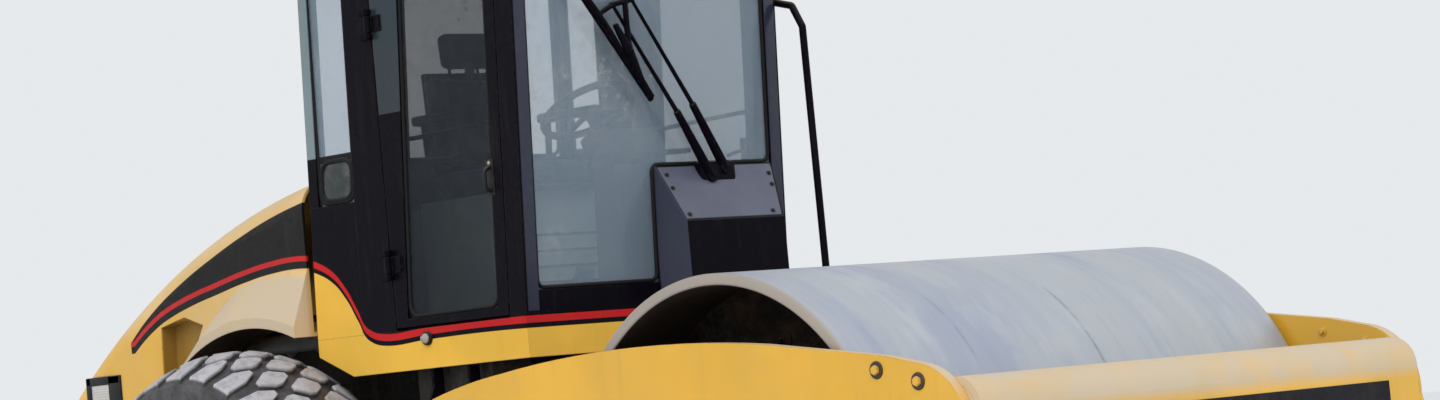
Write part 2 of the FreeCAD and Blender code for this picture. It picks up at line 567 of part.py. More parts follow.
def make_tractor_frame():
    rail_front = CROSSMEMBER_X - CROSSMEMBER_DEPTH
    rail_back = TAIL_X + COUNTERWEIGHT_DEPTH
    rail = box(rail_back, rail_front, RAIL_INNER, RAIL_INNER + RAIL_THICK, RAIL_BOTTOM, RAIL_TOP)
    post_x = CAB_REAR_X + CAB_CORNER + POST_AHEAD
    post = rod_z(POST_RADIUS, post_x, RAIL_INNER + RAIL_THICK / 2, RAIL_TOP, CAB_BOTTOM)
    save("chassis_rails", *both_sides(rail.fuse(post)))

    engine_front = AXLE_X + ENGINE_AHEAD
    engine_low = RAIL_BOTTOM + ENGINE_SEAT
    engine = box(engine_front - ENGINE_LENGTH, engine_front, -RAIL_INNER, RAIL_INNER,
                 engine_low, engine_low + ENGINE_HEIGHT)
    save("engine_block", engine)

    # Counterweight: bevelled underneath, and rounded at its two upright rear corners.
    half, bevel, nose = COUNTERWEIGHT_WIDTH / 2, COUNTERWEIGHT_BEVEL, COUNTERWEIGHT_ROUND
    low = AXLE_Z - COUNTERWEIGHT_DROP
    high = low + COUNTERWEIGHT_HEIGHT
    corner = nose * (1 - math.sqrt(0.5))
    side = side_prism(((rail_back, low), (TAIL_X + bevel, low), (TAIL_X, low + bevel),
                       (TAIL_X, high), (rail_back, high)), -half, half)
    plan = plan_prism(((rail_back, -half), (TAIL_X + nose, -half),
                       (TAIL_X + corner, -half + corner, TAIL_X, -half + nose),
                       (TAIL_X, half - nose),
                       (TAIL_X + corner, half - corner, TAIL_X + nose, half),
                       (rail_back, half)), low, high)
    save("counterweight", side.common(plan))

    tip = TAIL_X - TOW_EYE_REACH + TOW_EYE_RADIUS
    eye_z = AXLE_Z + TOW_EYE_RISE
    low, high = eye_z - TOW_EYE_THICK / 2, eye_z + TOW_EYE_THICK / 2
    eye = box(tip, TAIL_X, -TOW_EYE_RADIUS, TOW_EYE_RADIUS, low, high)
    eye = eye.fuse(rod_z(TOW_EYE_RADIUS, tip, 0, low, high))
    save("tow_eye", eye.cut(rod_z(TOW_HOLE_RADIUS, tip, 0, low - 1, high + 1)).removeSplitter())

    tank_front = CAB_FRONT_X - TANK_SETBACK
    tank_low = RAIL_BOTTOM - TANK_DROP
    corner = TANK_ROUND * (1 - math.sqrt(0.5))
    tank = front_prism(((TANK_INNER + TANK_ROUND, tank_low), (TANK_OUTER - TANK_ROUND, tank_low),
                        (TANK_OUTER - corner, tank_low + corner,
                         TANK_OUTER, tank_low + TANK_ROUND),
                        (TANK_OUTER, CAB_BOTTOM), (TANK_INNER, CAB_BOTTOM),
                        (TANK_INNER, tank_low + TANK_ROUND),
                        (TANK_INNER + corner, tank_low + corner,
                         TANK_INNER + TANK_ROUND, tank_low)),
                       tank_front - TANK_LENGTH, tank_front)
    save("side_tanks", *both_sides(tank))

    # Steps: two bent straps and two treads a side, hung from the cab's floor.
    knee, foot = CAB_BOTTOM - 65, CAB_BOTTOM - max(STEP_DROPS) - 20
    strap = ((STEP_INNER - 40, CAB_BOTTOM), (STEP_INNER + 10, CAB_BOTTOM),
             (STEP_INNER + 10, knee), (STEP_OUTER - 20, knee - 270), (STEP_OUTER - 20, foot),
             (STEP_OUTER - 100, foot), (STEP_OUTER - 100, knee - 290), (STEP_INNER - 40, knee - 50))
    front = CAB_FRONT_X - STEP_SETBACK
    back = front - STEP_WIDTH
    steps = [front_prism(strap, x, x + STEP_STRAP) for x in (back, front - STEP_STRAP)]
    for drop in STEP_DROPS:
        tread_z = CAB_BOTTOM - drop
        steps.append(box(back + STEP_STRAP, front - STEP_STRAP, STEP_INNER, STEP_OUTER,
                         tread_z, tread_z + STEP_TREAD_THICK))
    save("steps", *both_sides(steps[0].fuse(steps[1:]).removeSplitter()))


def make_carcass():
    """A tyre without its lugs: flat faces, one row of them to a lug, and a round bore."""
    bead, wide = RIM_HALF - 12, TYRE_WIDTH / 2
    half = ((bead, BEAD_RADIUS + 22), (wide - 2, BEAD_RADIUS + 145),
            (wide - 8, TYRE_BASE - 85), (wide - 70, TYRE_BASE))
    rows = tuple((-y, radius) for y, radius in half) + half[::-1]
    rings = []
    for y, radius in rows:
        ring = []
        for i in range(LUG_COUNT + 1):
            angle = 2 * math.pi * (i + 0.5) / LUG_COUNT
            ring.append(Vector(AXLE_X + radius * math.sin(angle), TYRE_CENTRE + y,
                               AXLE_Z - radius * math.cos(angle)))
        rings.append(ring)
    faces = [Part.Face(Part.makePolygon([left[i], left[i + 1], right[i + 1], right[i], left[i]]))
             for left, right in zip(rings, rings[1:]) for i in range(LUG_COUNT)]
    faces += [Part.Face(Part.makePolygon(ring)) for ring in (rings[0], rings[-1])]
    body = Part.Solid(Part.Shell(faces))
    return body.cut(rod_y(BEAD_RADIUS, AXLE_X, AXLE_Z, TYRE_CENTRE - bead, TYRE_CENTRE + bead))


def make_lugs():
    """The tread's diamond blocks on one tyre, five rows staggered by half a pitch."""
    tip, side, row = LUG_HALF_LENGTH, LUG_HALF_WIDTH, LUG_ROW
    middle = ((tip, 0), (0, side), (-tip, 0), (0, -side))
    outer = TYRE_WIDTH / 2 - 17 - 2 * row
    shoulder = ((0, -side), (tip - 6, outer), (6 - tip, outer))
    height = math.sqrt(TYRE_RADIUS ** 2 - tip ** 2)
    pitch = 360 / LUG_COUNT

    # Columns: the row's place across the tyre, its outline, how deep its roots go.
    table = ((0, middle, 0), (row, middle, 0), (-row, middle, 0),
             (2 * row, shoulder, LUG_DEPTH * 3),
             (-2 * row, tuple((x, -y) for x, y in reversed(shoulder)), LUG_DEPTH * 3))
    lugs = []
    for across, outline, extra in table:
        top = height - LUG_CROWN * (abs(across) / (2 * row)) ** 2
        low = height - 2 * LUG_DEPTH - extra
        lug = plan_prism(moved_rows(outline, AXLE_X, TYRE_CENTRE + across), AXLE_Z - top,
                         AXLE_Z - low)
        shift = 0.5 if abs(across) == row else 0.0
        for i in range(LUG_COUNT):
            copy = lug.copy()
            copy.rotate(Vector(AXLE_X, 0, AXLE_Z), Vector(0, 1, 0), pitch * (i + shift))
            lugs.append(copy)
    return lugs


def make_rear_axle():
    tube_end = AXLE_HALF - 80
    spindle_end = TYRE_CENTRE - 120 - CLEAR
    half = ((0.0, DIFFERENTIAL_RADIUS), (90.0, DIFFERENTIAL_RADIUS), (190.0, AXLE_TUBE_RADIUS + 25),
            (220.0, AXLE_TUBE_RADIUS), (tube_end - 10, AXLE_TUBE_RADIUS),
            (tube_end, WHEEL_HUB_RADIUS + AXLE_FLANGE), (AXLE_HALF, WHEEL_HUB_RADIUS + AXLE_FLANGE),
            (AXLE_HALF, SPINDLE_RADIUS), (spindle_end, SPINDLE_RADIUS), (spindle_end, 0.0))
    rows = tuple((-y, radius) for y, radius in reversed(half[1:])) + half
    axle = turned_y(rows, AXLE_X, AXLE_Z)
    for side in (-1, 1):
        y = side * (RAIL_INNER + RAIL_THICK / 2)
        axle = axle.fuse(box(AXLE_X - AXLE_SEAT_HALF, AXLE_X + AXLE_SEAT_HALF,
                             y - RAIL_THICK / 2, y + RAIL_THICK / 2, AXLE_Z, RAIL_BOTTOM))
    save("rear_axle", axle)

    tyre = make_carcass().fuse(make_lugs()).removeSplitter()
    tip_angle = math.degrees(math.asin(LUG_HALF_LENGTH / TYRE_RADIUS))
    tyre.rotate(Vector(AXLE_X, 0, AXLE_Z), Vector(0, 1, 0), tip_angle)
    save("tyre_left", tyre)
    save("tyre_right", mirrored(tyre))

    # Rim and disc, as (y, radius) from the tyre's middle outwards.
    seat = BEAD_RADIUS - RUNNING_GAP
    flange = seat + RIM_FLANGE
    groove = RIM_HALF - 12 + RUNNING_GAP
    hub_in = AXLE_HALF + CLEAR - TYRE_CENTRE
    rim = ((hub_in, SPINDLE_RADIUS + RUNNING_GAP), (hub_in, WHEEL_HUB_RADIUS),
           (-85, WHEEL_HUB_RADIUS), (-70, seat - RIM_WALL), (-RIM_HALF, seat - RIM_WALL),
           (-RIM_HALF, flange), (-groove, flange), (-groove, seat), (groove, seat),
           (groove, flange), (RIM_HALF, flange), (RIM_HALF, seat - RIM_WALL),
           (-45, seat - RIM_WALL), (-60, WHEEL_HUB_RADIUS), (-30, WHEEL_HUB_RADIUS - 20),
           (-30, 0), (-120, 0), (-120, SPINDLE_RADIUS + RUNNING_GAP))
    wheel = turned_y(moved_rows(rim, TYRE_CENTRE, 0), AXLE_X, AXLE_Z)
    save("rim_left", wheel)
    save("rim_right", mirrored(wheel))


def lean_front(z):
    """X of the windscreen plane's outer face at a height."""
    return CAB_FRONT_X + FRONT_LEAN * (z - FLOOR_TOP) / HEADROOM


def lean_rear(z):
    return CAB_REAR_X + REAR_LEAN * (z - FLOOR_TOP) / HEADROOM


def leaning_bar(low_front, low_back, high_front, high_back, z0, z1, y0, y1):
    return side_prism(((low_front, z0), (high_front, z1), (high_back, z1), (low_back, z0)), y0, y1)


def make_cab_body():
    corner_z = AXLE_Z + math.sqrt((TYRE_RADIUS + CAB_TYRE_GAP) ** 2 - CAB_AHEAD ** 2)
    base = side_prism(((CAB_FRONT_X, CAB_BOTTOM), (CAB_FRONT_X, FLOOR_TOP),
                       (CAB_REAR_X, FLOOR_TOP), (CAB_REAR_X, corner_z),
                       (CAB_REAR_X + CAB_CORNER, CAB_BOTTOM)), -CAB_HALF, CAB_HALF)
    save("cab_base", base)

    door_front = CAB_FRONT_X - DOOR_FRONT + DOOR_GAP
    door_rear = DOOR_REAR_X - DOOR_GAP
    a_post = leaning_bar(CAB_FRONT_X, door_front, CAB_FRONT_X + FRONT_LEAN,
                         door_front + FRONT_LEAN, FLOOR_TOP, ROOF_BOTTOM, PILLAR_IN, CAB_HALF)
    b_back = door_rear - B_PILLAR
    b_back_low = b_back - B_PILLAR_FLARE
    b_post = leaning_bar(door_rear, b_back_low, door_rear, b_back,
                         FLOOR_TOP, ROOF_BOTTOM, PILLAR_IN, CAB_HALF)
    c_post = leaning_bar(lean_rear(BELT_TOP) + C_PILLAR, lean_rear(BELT_TOP),
                         lean_rear(ROOF_BOTTOM) + C_PILLAR, lean_rear(ROOF_BOTTOM),
                         BELT_TOP, ROOF_BOTTOM, CAB_HALF - WALL, CAB_HALF)
    save("cab_pillars", *both_sides(a_post), *both_sides(b_post), *both_sides(c_post))

    # Rear tub: two quarter panels and the back wall, in one piece.
    b_back_belt = b_back_low + B_PILLAR_FLARE * BELT_RISE / HEADROOM
    back_half = CAB_HALF - WALL
    quarter = side_prism(((b_back_low, FLOOR_TOP), (b_back_belt, BELT_TOP),
                          (lean_rear(BELT_TOP), BELT_TOP), (CAB_REAR_X, FLOOR_TOP)),
                         back_half, CAB_HALF)
    back = leaning_bar(CAB_REAR_X + WALL, CAB_REAR_X, lean_rear(REAR_BELT_TOP) + WALL,
                       lean_rear(REAR_BELT_TOP), FLOOR_TOP, REAR_BELT_TOP, -back_half, back_half)
    save("cab_rear_wall", back.fuse([quarter, mirrored(quarter)]).removeSplitter())

    side_glass = leaning_bar(b_back_belt, lean_rear(BELT_TOP) + C_PILLAR, b_back,
                             lean_rear(ROOF_BOTTOM) + C_PILLAR, BELT_TOP, ROOF_BOTTOM,
                             CAB_HALF - GLASS_INSET - GLASS, CAB_HALF - GLASS_INSET)
    low, high = lean_rear(REAR_BELT_TOP) + GLASS_INSET, lean_rear(ROOF_BOTTOM) + GLASS_INSET
    rear_glass = leaning_bar(low + GLASS, low, high + GLASS, high, REAR_BELT_TOP, ROOF_BOTTOM,
                             -back_half, back_half)
    save("rear_glass", *both_sides(side_glass), rear_glass)


def make_cab_front():
    def screen(z0, z1, y0, y1):
        low, high = lean_front(z0) - GLASS_INSET, lean_front(z1) - GLASS_INSET
        return leaning_bar(low, low - GLASS, high, high - GLASS, z0, z1, y0, y1)

    sill = FLOOR_TOP + SILL_HEIGHT
    inner = PILLAR_IN
    windscreen = screen(sill, CONSOLE_TOP, -inner, 0).fuse(
        screen(CONSOLE_TOP, ROOF_BOTTOM, -inner, inner))
    save("windscreen", windscreen.removeSplitter())

    lip_x = CAB_FRONT_X + CONSOLE_REACH
    foot = FLOOR_TOP + CONSOLE_FOOT
    top_x = lean_front(CONSOLE_TOP)
    console = side_prism(((lip_x, foot), (lip_x, CONSOLE_TOP - CONSOLE_SLOPE),
                          (top_x, CONSOLE_TOP), (top_x - WALL, CONSOLE_TOP),
                          (CAB_FRONT_X - WALL, FLOOR_TOP), (CAB_FRONT_X, FLOOR_TOP),
                          (CAB_FRONT_X, foot)), 0, inner)
    corner = plan_prism(((lip_x + 1, inner - 100), (lip_x + 1, inner + 1),
                         (CAB_FRONT_X + 20, inner + 1)), foot - 1, CONSOLE_TOP + 1)
    save("console_box", console.cut(corner))
    front_sill = leaning_bar(CAB_FRONT_X, CAB_FRONT_X - WALL, lean_front(sill),
                             lean_front(sill) - WALL, FLOOR_TOP, sill, -inner, 0)
    save("front_sill", front_sill)

    rail_y = CAB_HALF + RAIL_TUBE + RAIL_STANDOFF
    on_cab = CAB_HALF + RUNNING_GAP
    top_z = ROOF_BOTTOM - 285
    low_z = CAB_BOTTOM + 85
    top_x = lean_front(top_z) - 55
    foot_x = CAB_FRONT_X - 30
    path = ((top_x, on_cab, top_z), (top_x, rail_y, top_z),
            (CAB_FRONT_X + 125, rail_y, top_z - 30), (CAB_FRONT_X + 172, rail_y, top_z - 115),
            (CAB_FRONT_X + 180, rail_y, low_z), (foot_x, rail_y, low_z), (foot_x, on_cab, low_z))
    save("hand_rail", tube(path, RAIL_TUBE, RAIL_BEND))


def make_roof():
    """A slab with rounded corners and a raised panel on top, and two lamps at each end."""
    back = lean_rear(ROOF_BOTTOM) - ROOF_REAR_OVERHANG
    front = lean_front(ROOF_BOTTOM) + ROOF_FRONT_OVERHANG
    half = CAB_HALF + ROOF_SIDE_OVERHANG
    top = ROOF_BOTTOM + ROOF_THICK
    shoulder = top - ROOF_PANEL_RISE
    inset = ROOF_PANEL_INSET

    def slab(grow, z0, z1, corner, rounding):
        shape = box(back + grow, front - grow, grow - half, half - grow, z0, z1)
        upright = [edge for edge in shape.Edges if edge.BoundBox.ZLength > z1 - z0 - 1]
        shape = shape.makeFillet(corner, upright)
        rim = [edge for edge in shape.Edges if edge.BoundBox.ZMin > z1 - 1]
        return shape.makeFillet(rounding, rim)

    roof = slab(0, ROOF_BOTTOM, shoulder, ROOF_CORNER_ROUND, ROOF_ROUND)
    panel = slab(inset, shoulder - 1, top, ROOF_CORNER_ROUND - inset / 2, ROOF_PANEL_RISE / 2)
    save("roof", roof.fuse(panel))

    # Each lamp's housing tapers to its back, as (distance behind the face, height above its foot).
    low = ROOF_BOTTOM - LAMP_HEIGHT
    profile = ((0, 0), (0, LAMP_HEIGHT), (LAMP_DEPTH, LAMP_HEIGHT),
               (LAMP_DEPTH, LAMP_HEIGHT * 0.55), (LAMP_DEPTH * 0.6, 8.0))
    lamp_y = CAB_HALF - LAMP_SETBACK
    lamps = []
    for face, way in ((lean_front(ROOF_BOTTOM) + LAMP_REACH, -1),
                      (lean_rear(ROOF_BOTTOM) - LAMP_REACH, 1)):
        rows = tuple((face + way * behind, low + rise) for behind, rise in profile)
        lamps.extend(both_sides(side_prism(rows, lamp_y - LAMP_HALF, lamp_y + LAMP_HALF)))
    save("work_lamps", *lamps)


def make_cab_inside():
    seat_x = CAB_REAR_X + SEAT_AHEAD
    cushion_top = FLOOR_TOP + SEAT_HEIGHT
    cushion_low = cushion_top - CUSHION_THICK
    pedestal = box(seat_x, seat_x + 400, -300, 300, FLOOR_TOP, cushion_low)
    save("seat_pedestal", pedestal)
    cushion = box(seat_x + 10, seat_x + 490, -SEAT_HALF, SEAT_HALF, cushion_low, cushion_top)
    back_low = cushion_top + RUNNING_GAP
    back = leaning_bar(seat_x + 100, seat_x, seat_x + 30, seat_x - 70, back_low,
                       back_low + BACK_HEIGHT, 10 - SEAT_HALF, SEAT_HALF - 10)
    save("seat", cushion.makeFillet(25, cushion.Edges), back.makeFillet(25, back.Edges))

    wheel_x, wheel_z = CAB_FRONT_X - STEER_WHEEL_SETBACK, FLOOR_TOP + STEER_WHEEL_RISE
    radius, tilt = STEER_WHEEL_RADIUS, STEER_WHEEL_TILT
    shaft = 280.0
    ring = Part.makeTorus(radius, STEER_WHEEL_GRIP)
    hub = Part.makeCylinder(35, 30, Vector(0, 0, -30))
    spokes = [box(0, radius, -14, 14, -12, -4) for _ in range(3)]
    for spoke, angle in zip(spokes, (90, 180, 270)):
        spoke.rotate(Vector(0, 0, 0), Vector(0, 0, 1), angle)
    column = Part.makeCylinder(26, shaft - 20, Vector(0, 0, -shaft))
    steering = ring.fuse(spokes + [hub, column])
    steering.rotate(Vector(0, 0, 0), Vector(0, 1, 0), -tilt)
    steering.translate(Vector(wheel_x, 0, wheel_z))
    post_x = wheel_x + shaft * sine(tilt)
    post_top = wheel_z - 225
    post = side_prism(((post_x - 90, FLOOR_TOP), (post_x - 60, post_top), (post_x + 55, post_top),
                       (post_x + 70, FLOOR_TOP)), -70, 70)
    save("steering_column", steering.fuse(post))


def make_doors():
    slope = FRONT_LEAN / HEADROOM
    bottom, top = FLOOR_TOP + DOOR_FOOT, ROOF_BOTTOM - DOOR_HEAD
    front = CAB_FRONT_X - DOOR_FRONT
    low, high = front + slope * DOOR_FOOT, front + slope * (HEADROOM - DOOR_HEAD)
    rear = DOOR_REAR_X
    outer, inner = CAB_HALF, CAB_HALF - DOOR_THICK
    leaf = leaning_bar(low, rear, high, rear, bottom, top, inner, outer)
    sill, head = bottom + DOOR_FRAME_FOOT, top - DOOR_FRAME_HEAD
    opening = ((low - DOOR_FRAME_FRONT, sill), (high - DOOR_FRAME_FRONT, head),
               (rear + DOOR_FRAME_REAR_TOP, head), (rear + DOOR_FRAME_REAR, sill))
    frame = leaf.cut(side_prism(opening, inner - 1, outer + 1))
    glass = side_prism(opening, outer - GLASS_INSET - GLASS, outer - GLASS_INSET)
    hinge_y = outer + HINGE_OFFSET
    heights = [FLOOR_TOP + rise for rise in HINGE_RISES]
    for z in heights:
        knuckle = rod_z(KNUCKLE_RADIUS, rear, hinge_y, z, z + KNUCKLE_HEIGHT)
        knuckle = knuckle.fuse(box(rear, rear + HINGE_LEAF, outer, outer + 8, z, z + KNUCKLE_HEIGHT))
        hole = rod_z(HINGE_PIN + RUNNING_GAP, rear, hinge_y, z - 1, z + KNUCKLE_HEIGHT + 1)
        frame = frame.fuse(knuckle.cut(hole))
    save("door_frame_left", frame)
    save("door_frame_right", mirrored(frame))
    save("door_glass_left", glass)
    save("door_glass_right", mirrored(glass))

    # The pillar's half of each hinge: a bracket above and below each knuckle, and the pin.
    hinges = []
    thick = 20.0
    for z in heights:
        low_z, high_z = z - thick - CLEAR, z + KNUCKLE_HEIGHT + thick + CLEAR
        brackets = []
        for z0 in (low_z, high_z - thick):
            brackets.append(rod_z(KNUCKLE_RADIUS, rear, hinge_y, z0, z0 + thick))
            brackets.append(box(rear - HINGE_LEAF, rear - 8, outer, outer + 8, z0, z0 + thick))
            brackets.append(box(rear - KNUCKLE_RADIUS, rear, outer, hinge_y, z0, z0 + thick))
        pin = rod_z(HINGE_PIN, rear, hinge_y, low_z, high_z)
        hinges.extend(both_sides(pin.fuse(brackets)))
    save("door_hinges", *hinges)


def hood_outline(inset, bottom):
    """Side view of the hood block, its top drawn closer in by the inset."""
    radius, slope = HOOD_TOP_RADIUS, HOOD_START_SLOPE
    centre = (HOOD_FRONT_X + radius * sine(slope), HOOD_FRONT_TOP - radius * cosine(slope))

    def on_arc(angle):
        reach = radius - inset
        return centre[0] - reach * sine(angle), centre[1] + reach * cosine(angle)

    rows = [(HOOD_FRONT_X, bottom), on_arc(slope)]
    for next_radius, end_slope in ((HOOD_TOP_RADIUS, HOOD_END_SLOPE), (HOOD_TAIL_RADIUS, 90.0)):
        shift = radius - next_radius
        centre = (centre[0] - shift * sine(slope), centre[1] + shift * cosine(slope))
        radius = next_radius
        rows.append(on_arc((slope + end_slope) / 2) + on_arc(end_slope))
        slope = end_slope
    rows.append((rows[-1][-2], bottom))
    return tuple(rows)


def hood_block(inset, bottom):
    half = CAB_HALF - inset
    block = side_prism(hood_outline(inset, bottom), -half, half)
    rear = HOOD_REAR_X + inset
    shoulders = [edge for edge in block.Edges
                 if isinstance(edge.Curve, Part.Circle) or
                 (abs(edge.CenterOfMass.x - rear) < 1 and abs(edge.CenterOfMass.y) > half - 1)]
    return block.makeFillet(HOOD_SHOULDER - inset, shoulders)


def make_fender():
    """A wedge from the crease on the hood's side out to the lip over the tyre."""
    front, lip = HOOD_FRONT_X, ARCH_RADIUS + FENDER_LIP
    lip_top = AXLE_Z + lip
    tail = AXLE_X - math.sqrt(ARCH_RADIUS ** 2 - (lip_top - 230 - AXLE_Z) ** 2)
    foot = lip_top - 300

    def lip_z(x):
        return AXLE_Z + math.sqrt(lip ** 2 - (x - AXLE_X) ** 2)

    places = [front - behind for behind, _ in FENDER_CREASE]
    heights = [lip_top + rise for _, rise in FENDER_CREASE]
    crease = ((front, foot + 100), (front, heights[0]),
              (places[1], heights[1], places[2], heights[2]), (places[3], heights[3]),
              (tail + 10, foot + 80), (tail + 10, foot))
    edge = ((front, foot + 100), (front, lip_z(front)),
            (places[1], lip_z(places[1]), places[2], lip_z(places[2])),
            (places[3], lip_z(places[3])), (tail, foot + 72), (tail, foot))
    root = outline_face(crease, lambda x, z: Vector(x, CAB_HALF - 6, z)).OuterWire
    rim = outline_face(edge, lambda x, z: Vector(x, CAB_HALF + FENDER_PROUD, z)).OuterWire
    return Part.makeLoft([root, rim], True, True), tail, foot


def make_hood():
    shell = hood_block(0, HOOD_BOTTOM).cut(hood_block(HOOD_SKIN, HOOD_BOTTOM - 1))
    outer_y = CAB_HALF + FENDER_PROUD
    arch = rod_y(ARCH_RADIUS, AXLE_X, AXLE_Z, WELL_INNER - 1, outer_y + 1)
    band = rod_y(ARCH_RADIUS + ARCH_BAND, AXLE_X, AXLE_Z, WELL_INNER, CAB_HALF)
    keep = box(AXLE_X - ARCH_RADIUS, HOOD_FRONT_X, 0, outer_y, HOOD_BOTTOM, HOOD_FRONT_TOP)
    band = band.common(keep)
    fender, tail, foot = make_fender()

    # Recess behind the fender: a shallow tray let into the side.
    def tray(grow, y0, y1):
        rows = ((tail - 155 - grow, foot), (tail - 140 - grow, foot + 310 + grow),
                (tail + 20, foot + 340 + grow), (tail + 140 + grow, foot + 300 + grow),
                (tail - 5 + grow, foot + 85), (tail - 5 + grow, foot))
        return side_prism(rows, y0, y1)

    depth = CAB_HALF - 70
    lip_ring = rod_y(ARCH_RADIUS + FENDER_LIP, AXLE_X, AXLE_Z, 0, outer_y)
    pocket = tray(0, depth, CAB_HALF + 1).cut(lip_ring)
    pan = tray(HOOD_SKIN, depth - HOOD_SKIN, CAB_HALF - HOOD_SKIN)
    for side in (1, -1):
        def placed(shape):
            return shape if side > 0 else mirrored(shape)
        shell = shell.fuse([placed(band), placed(fender), placed(pan)])
        shell = shell.cut(placed(pocket)).cut(placed(arch))

    # Rear window of the engine bay, with its slats, and the lamps flush with the skin.
    low = HOOD_BOTTOM + GRILLE_RISE
    window = box(TAIL_X, TAIL_X + 470, -GRILLE_HALF, GRILLE_HALF, low, low + GRILLE_HEIGHT)
    skin = shell.common(window)
    lamp_x = HOOD_REAR_X + TAIL_LAMP_AHEAD
    lamp_z = HOOD_BOTTOM + TAIL_LAMP_RISE
    lamp = box(lamp_x, lamp_x + TAIL_LAMP_LENGTH, CAB_HALF - 60, CAB_HALF + 1,
               lamp_z, lamp_z + TAIL_LAMP_HEIGHT)
    shell = shell.cut([window, lamp, mirrored(lamp)])

    # Hinge ears under the front of the hood.
    hinge_x, hinge_z = HOOD_HINGE_X, HOOD_HINGE_Z
    ear_end = HOOD_EAR_Y + 30
    bore = rod_y(HOOD_HINGE_RADIUS + RUNNING_GAP, hinge_x, hinge_z, -ear_end, ear_end)
    ears = []
    for side in (-1, 1):
        y = side * HOOD_EAR_Y
        ear = rod_y(HOOD_EAR_RADIUS, hinge_x, hinge_z, y - 10, y + 10)
        ear = ear.fuse(box(hinge_x - HOOD_EAR_RADIUS, hinge_x + 24, y - 10, y + 10,
                           hinge_z, hinge_z + 42))
        ears.append(ear)
    save("hood_shell", shell.fuse(ears).cut(bore))
    save("tail_lamps", *both_sides(lamp.common(hood_block(0, HOOD_BOTTOM))))

    pitch = GRILLE_HEIGHT / GRILLE_SLATS
    slats = []
    for i in range(GRILLE_SLATS):
        z = low + pitch * i
        slats.append(skin.common(box(TAIL_X, TAIL_X + 470, -GRILLE_HALF, GRILLE_HALF,
                                     z + GRILLE_SLOT / 2, z + pitch - GRILLE_SLOT / 2)))
    save("rear_grille", *slats)

    # Hinge bar on two posts, carried by the rails.
    bar = rod_y(HOOD_HINGE_RADIUS, hinge_x, hinge_z, 10 - ear_end, ear_end - 10)
    posts = []
    for side in (-1, 1):
        y = side * (RAIL_INNER + RAIL_THICK / 2)
        posts.append(box(hinge_x - 20, hinge_x + 20, y - 20, y + 20, RAIL_TOP, hinge_z + 10))
    save("hood_hinge", bar.fuse(posts))


os.makedirs("parts", exist_ok=True)
make_drum()
make_drum_frame()
make_hitch()
make_steering_cylinders()
make_tractor_frame()
make_rear_axle()
make_cab_body()
make_cab_front()
make_roof()
make_cab_inside()
make_doors()
make_hood()
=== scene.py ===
import json
import math

import bmesh
import bpy
from mathutils import Euler, Matrix, Vector


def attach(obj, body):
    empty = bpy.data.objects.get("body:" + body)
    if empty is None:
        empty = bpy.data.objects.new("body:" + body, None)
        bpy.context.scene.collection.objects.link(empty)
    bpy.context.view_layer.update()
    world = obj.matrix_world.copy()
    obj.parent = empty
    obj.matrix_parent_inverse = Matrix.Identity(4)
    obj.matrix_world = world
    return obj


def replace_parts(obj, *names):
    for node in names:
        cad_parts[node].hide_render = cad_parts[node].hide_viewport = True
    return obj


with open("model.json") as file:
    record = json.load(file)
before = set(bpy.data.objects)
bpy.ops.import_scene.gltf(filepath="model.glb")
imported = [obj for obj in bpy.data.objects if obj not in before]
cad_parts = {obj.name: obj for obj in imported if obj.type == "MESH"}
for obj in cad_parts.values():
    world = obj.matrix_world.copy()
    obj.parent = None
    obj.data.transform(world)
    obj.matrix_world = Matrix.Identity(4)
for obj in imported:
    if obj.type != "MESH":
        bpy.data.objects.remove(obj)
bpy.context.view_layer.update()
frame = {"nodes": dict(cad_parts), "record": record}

# A road roller: smooth steel drum in a yellow yoke frame, glazed black cab, yellow engine
# hood with a black and red stripe, and two wide tyres with a diamond tread.
# Metres, with +X forward, +Y to the driver's left and the ground at z = 0.

# Where the photograph was taken from, and how the camera was held.
CAMERA_PLACE = Vector((11.494, -10.242, 1.105))
CAMERA_AZIMUTH = 46.5
CAMERA_PITCH = 2.84
CAMERA_ROLL = 5.26
LENS_MM = 102.7

# Centres that the moving pieces are built around.
DRUM_AXLE = Vector((1.715, 0.0, 0.767))
REAR_AXLE = Vector((-1.215, 0.0, 0.740))
TYRE_MIDDLE = 0.820
TYRE_RADIUS = 0.740
TREAD_COUNT = 27            # blocks round each of the five rows
DISC_FACE = 0.775           # outer face of the wheel's disc, from the middle of the machine
HUB_FACE = 0.790
DRUM_HALF = 1.065
DRUM_RADIUS = 0.767
DRUM_WALL = 0.040
HEAD_FACE = 0.735           # outer faces of the heads inside the drum
PLATE_FACE = 1.130          # outer faces of the side plates
CAP_FACE = 1.150            # outer faces of the caps over the drum's motors
PANE_MIDDLE = 0.647         # middle of the side glass
CATCH = Vector((-0.222, 0.659, 1.446))
LID_UP = Vector((0.829, 0.0, 0.560))    # square to the console's slanted lid

# A steering barrel on the left: where its pin stands, which way it points, and its height.
BARREL_PIN = (-0.235, 0.330)
BARREL_WAY = (0.9925, -0.1221)
BARREL_MIDDLE = 0.720

# Colours, as the surfaces would look in flat white light.
YELLOW = (0.77, 0.425, 0.030)
RED = (0.56, 0.020, 0.022)
CAB_BLACK = (0.0042, 0.0034, 0.0066)
FRAME_BLACK = (0.018, 0.016, 0.015)
DUST = (0.52, 0.42, 0.30)
PALE_DUST = (0.66, 0.55, 0.41)
SAND = (0.46, 0.38, 0.29)
STEEL = (0.46, 0.485, 0.52)
RUBBER = (0.022, 0.020, 0.020)


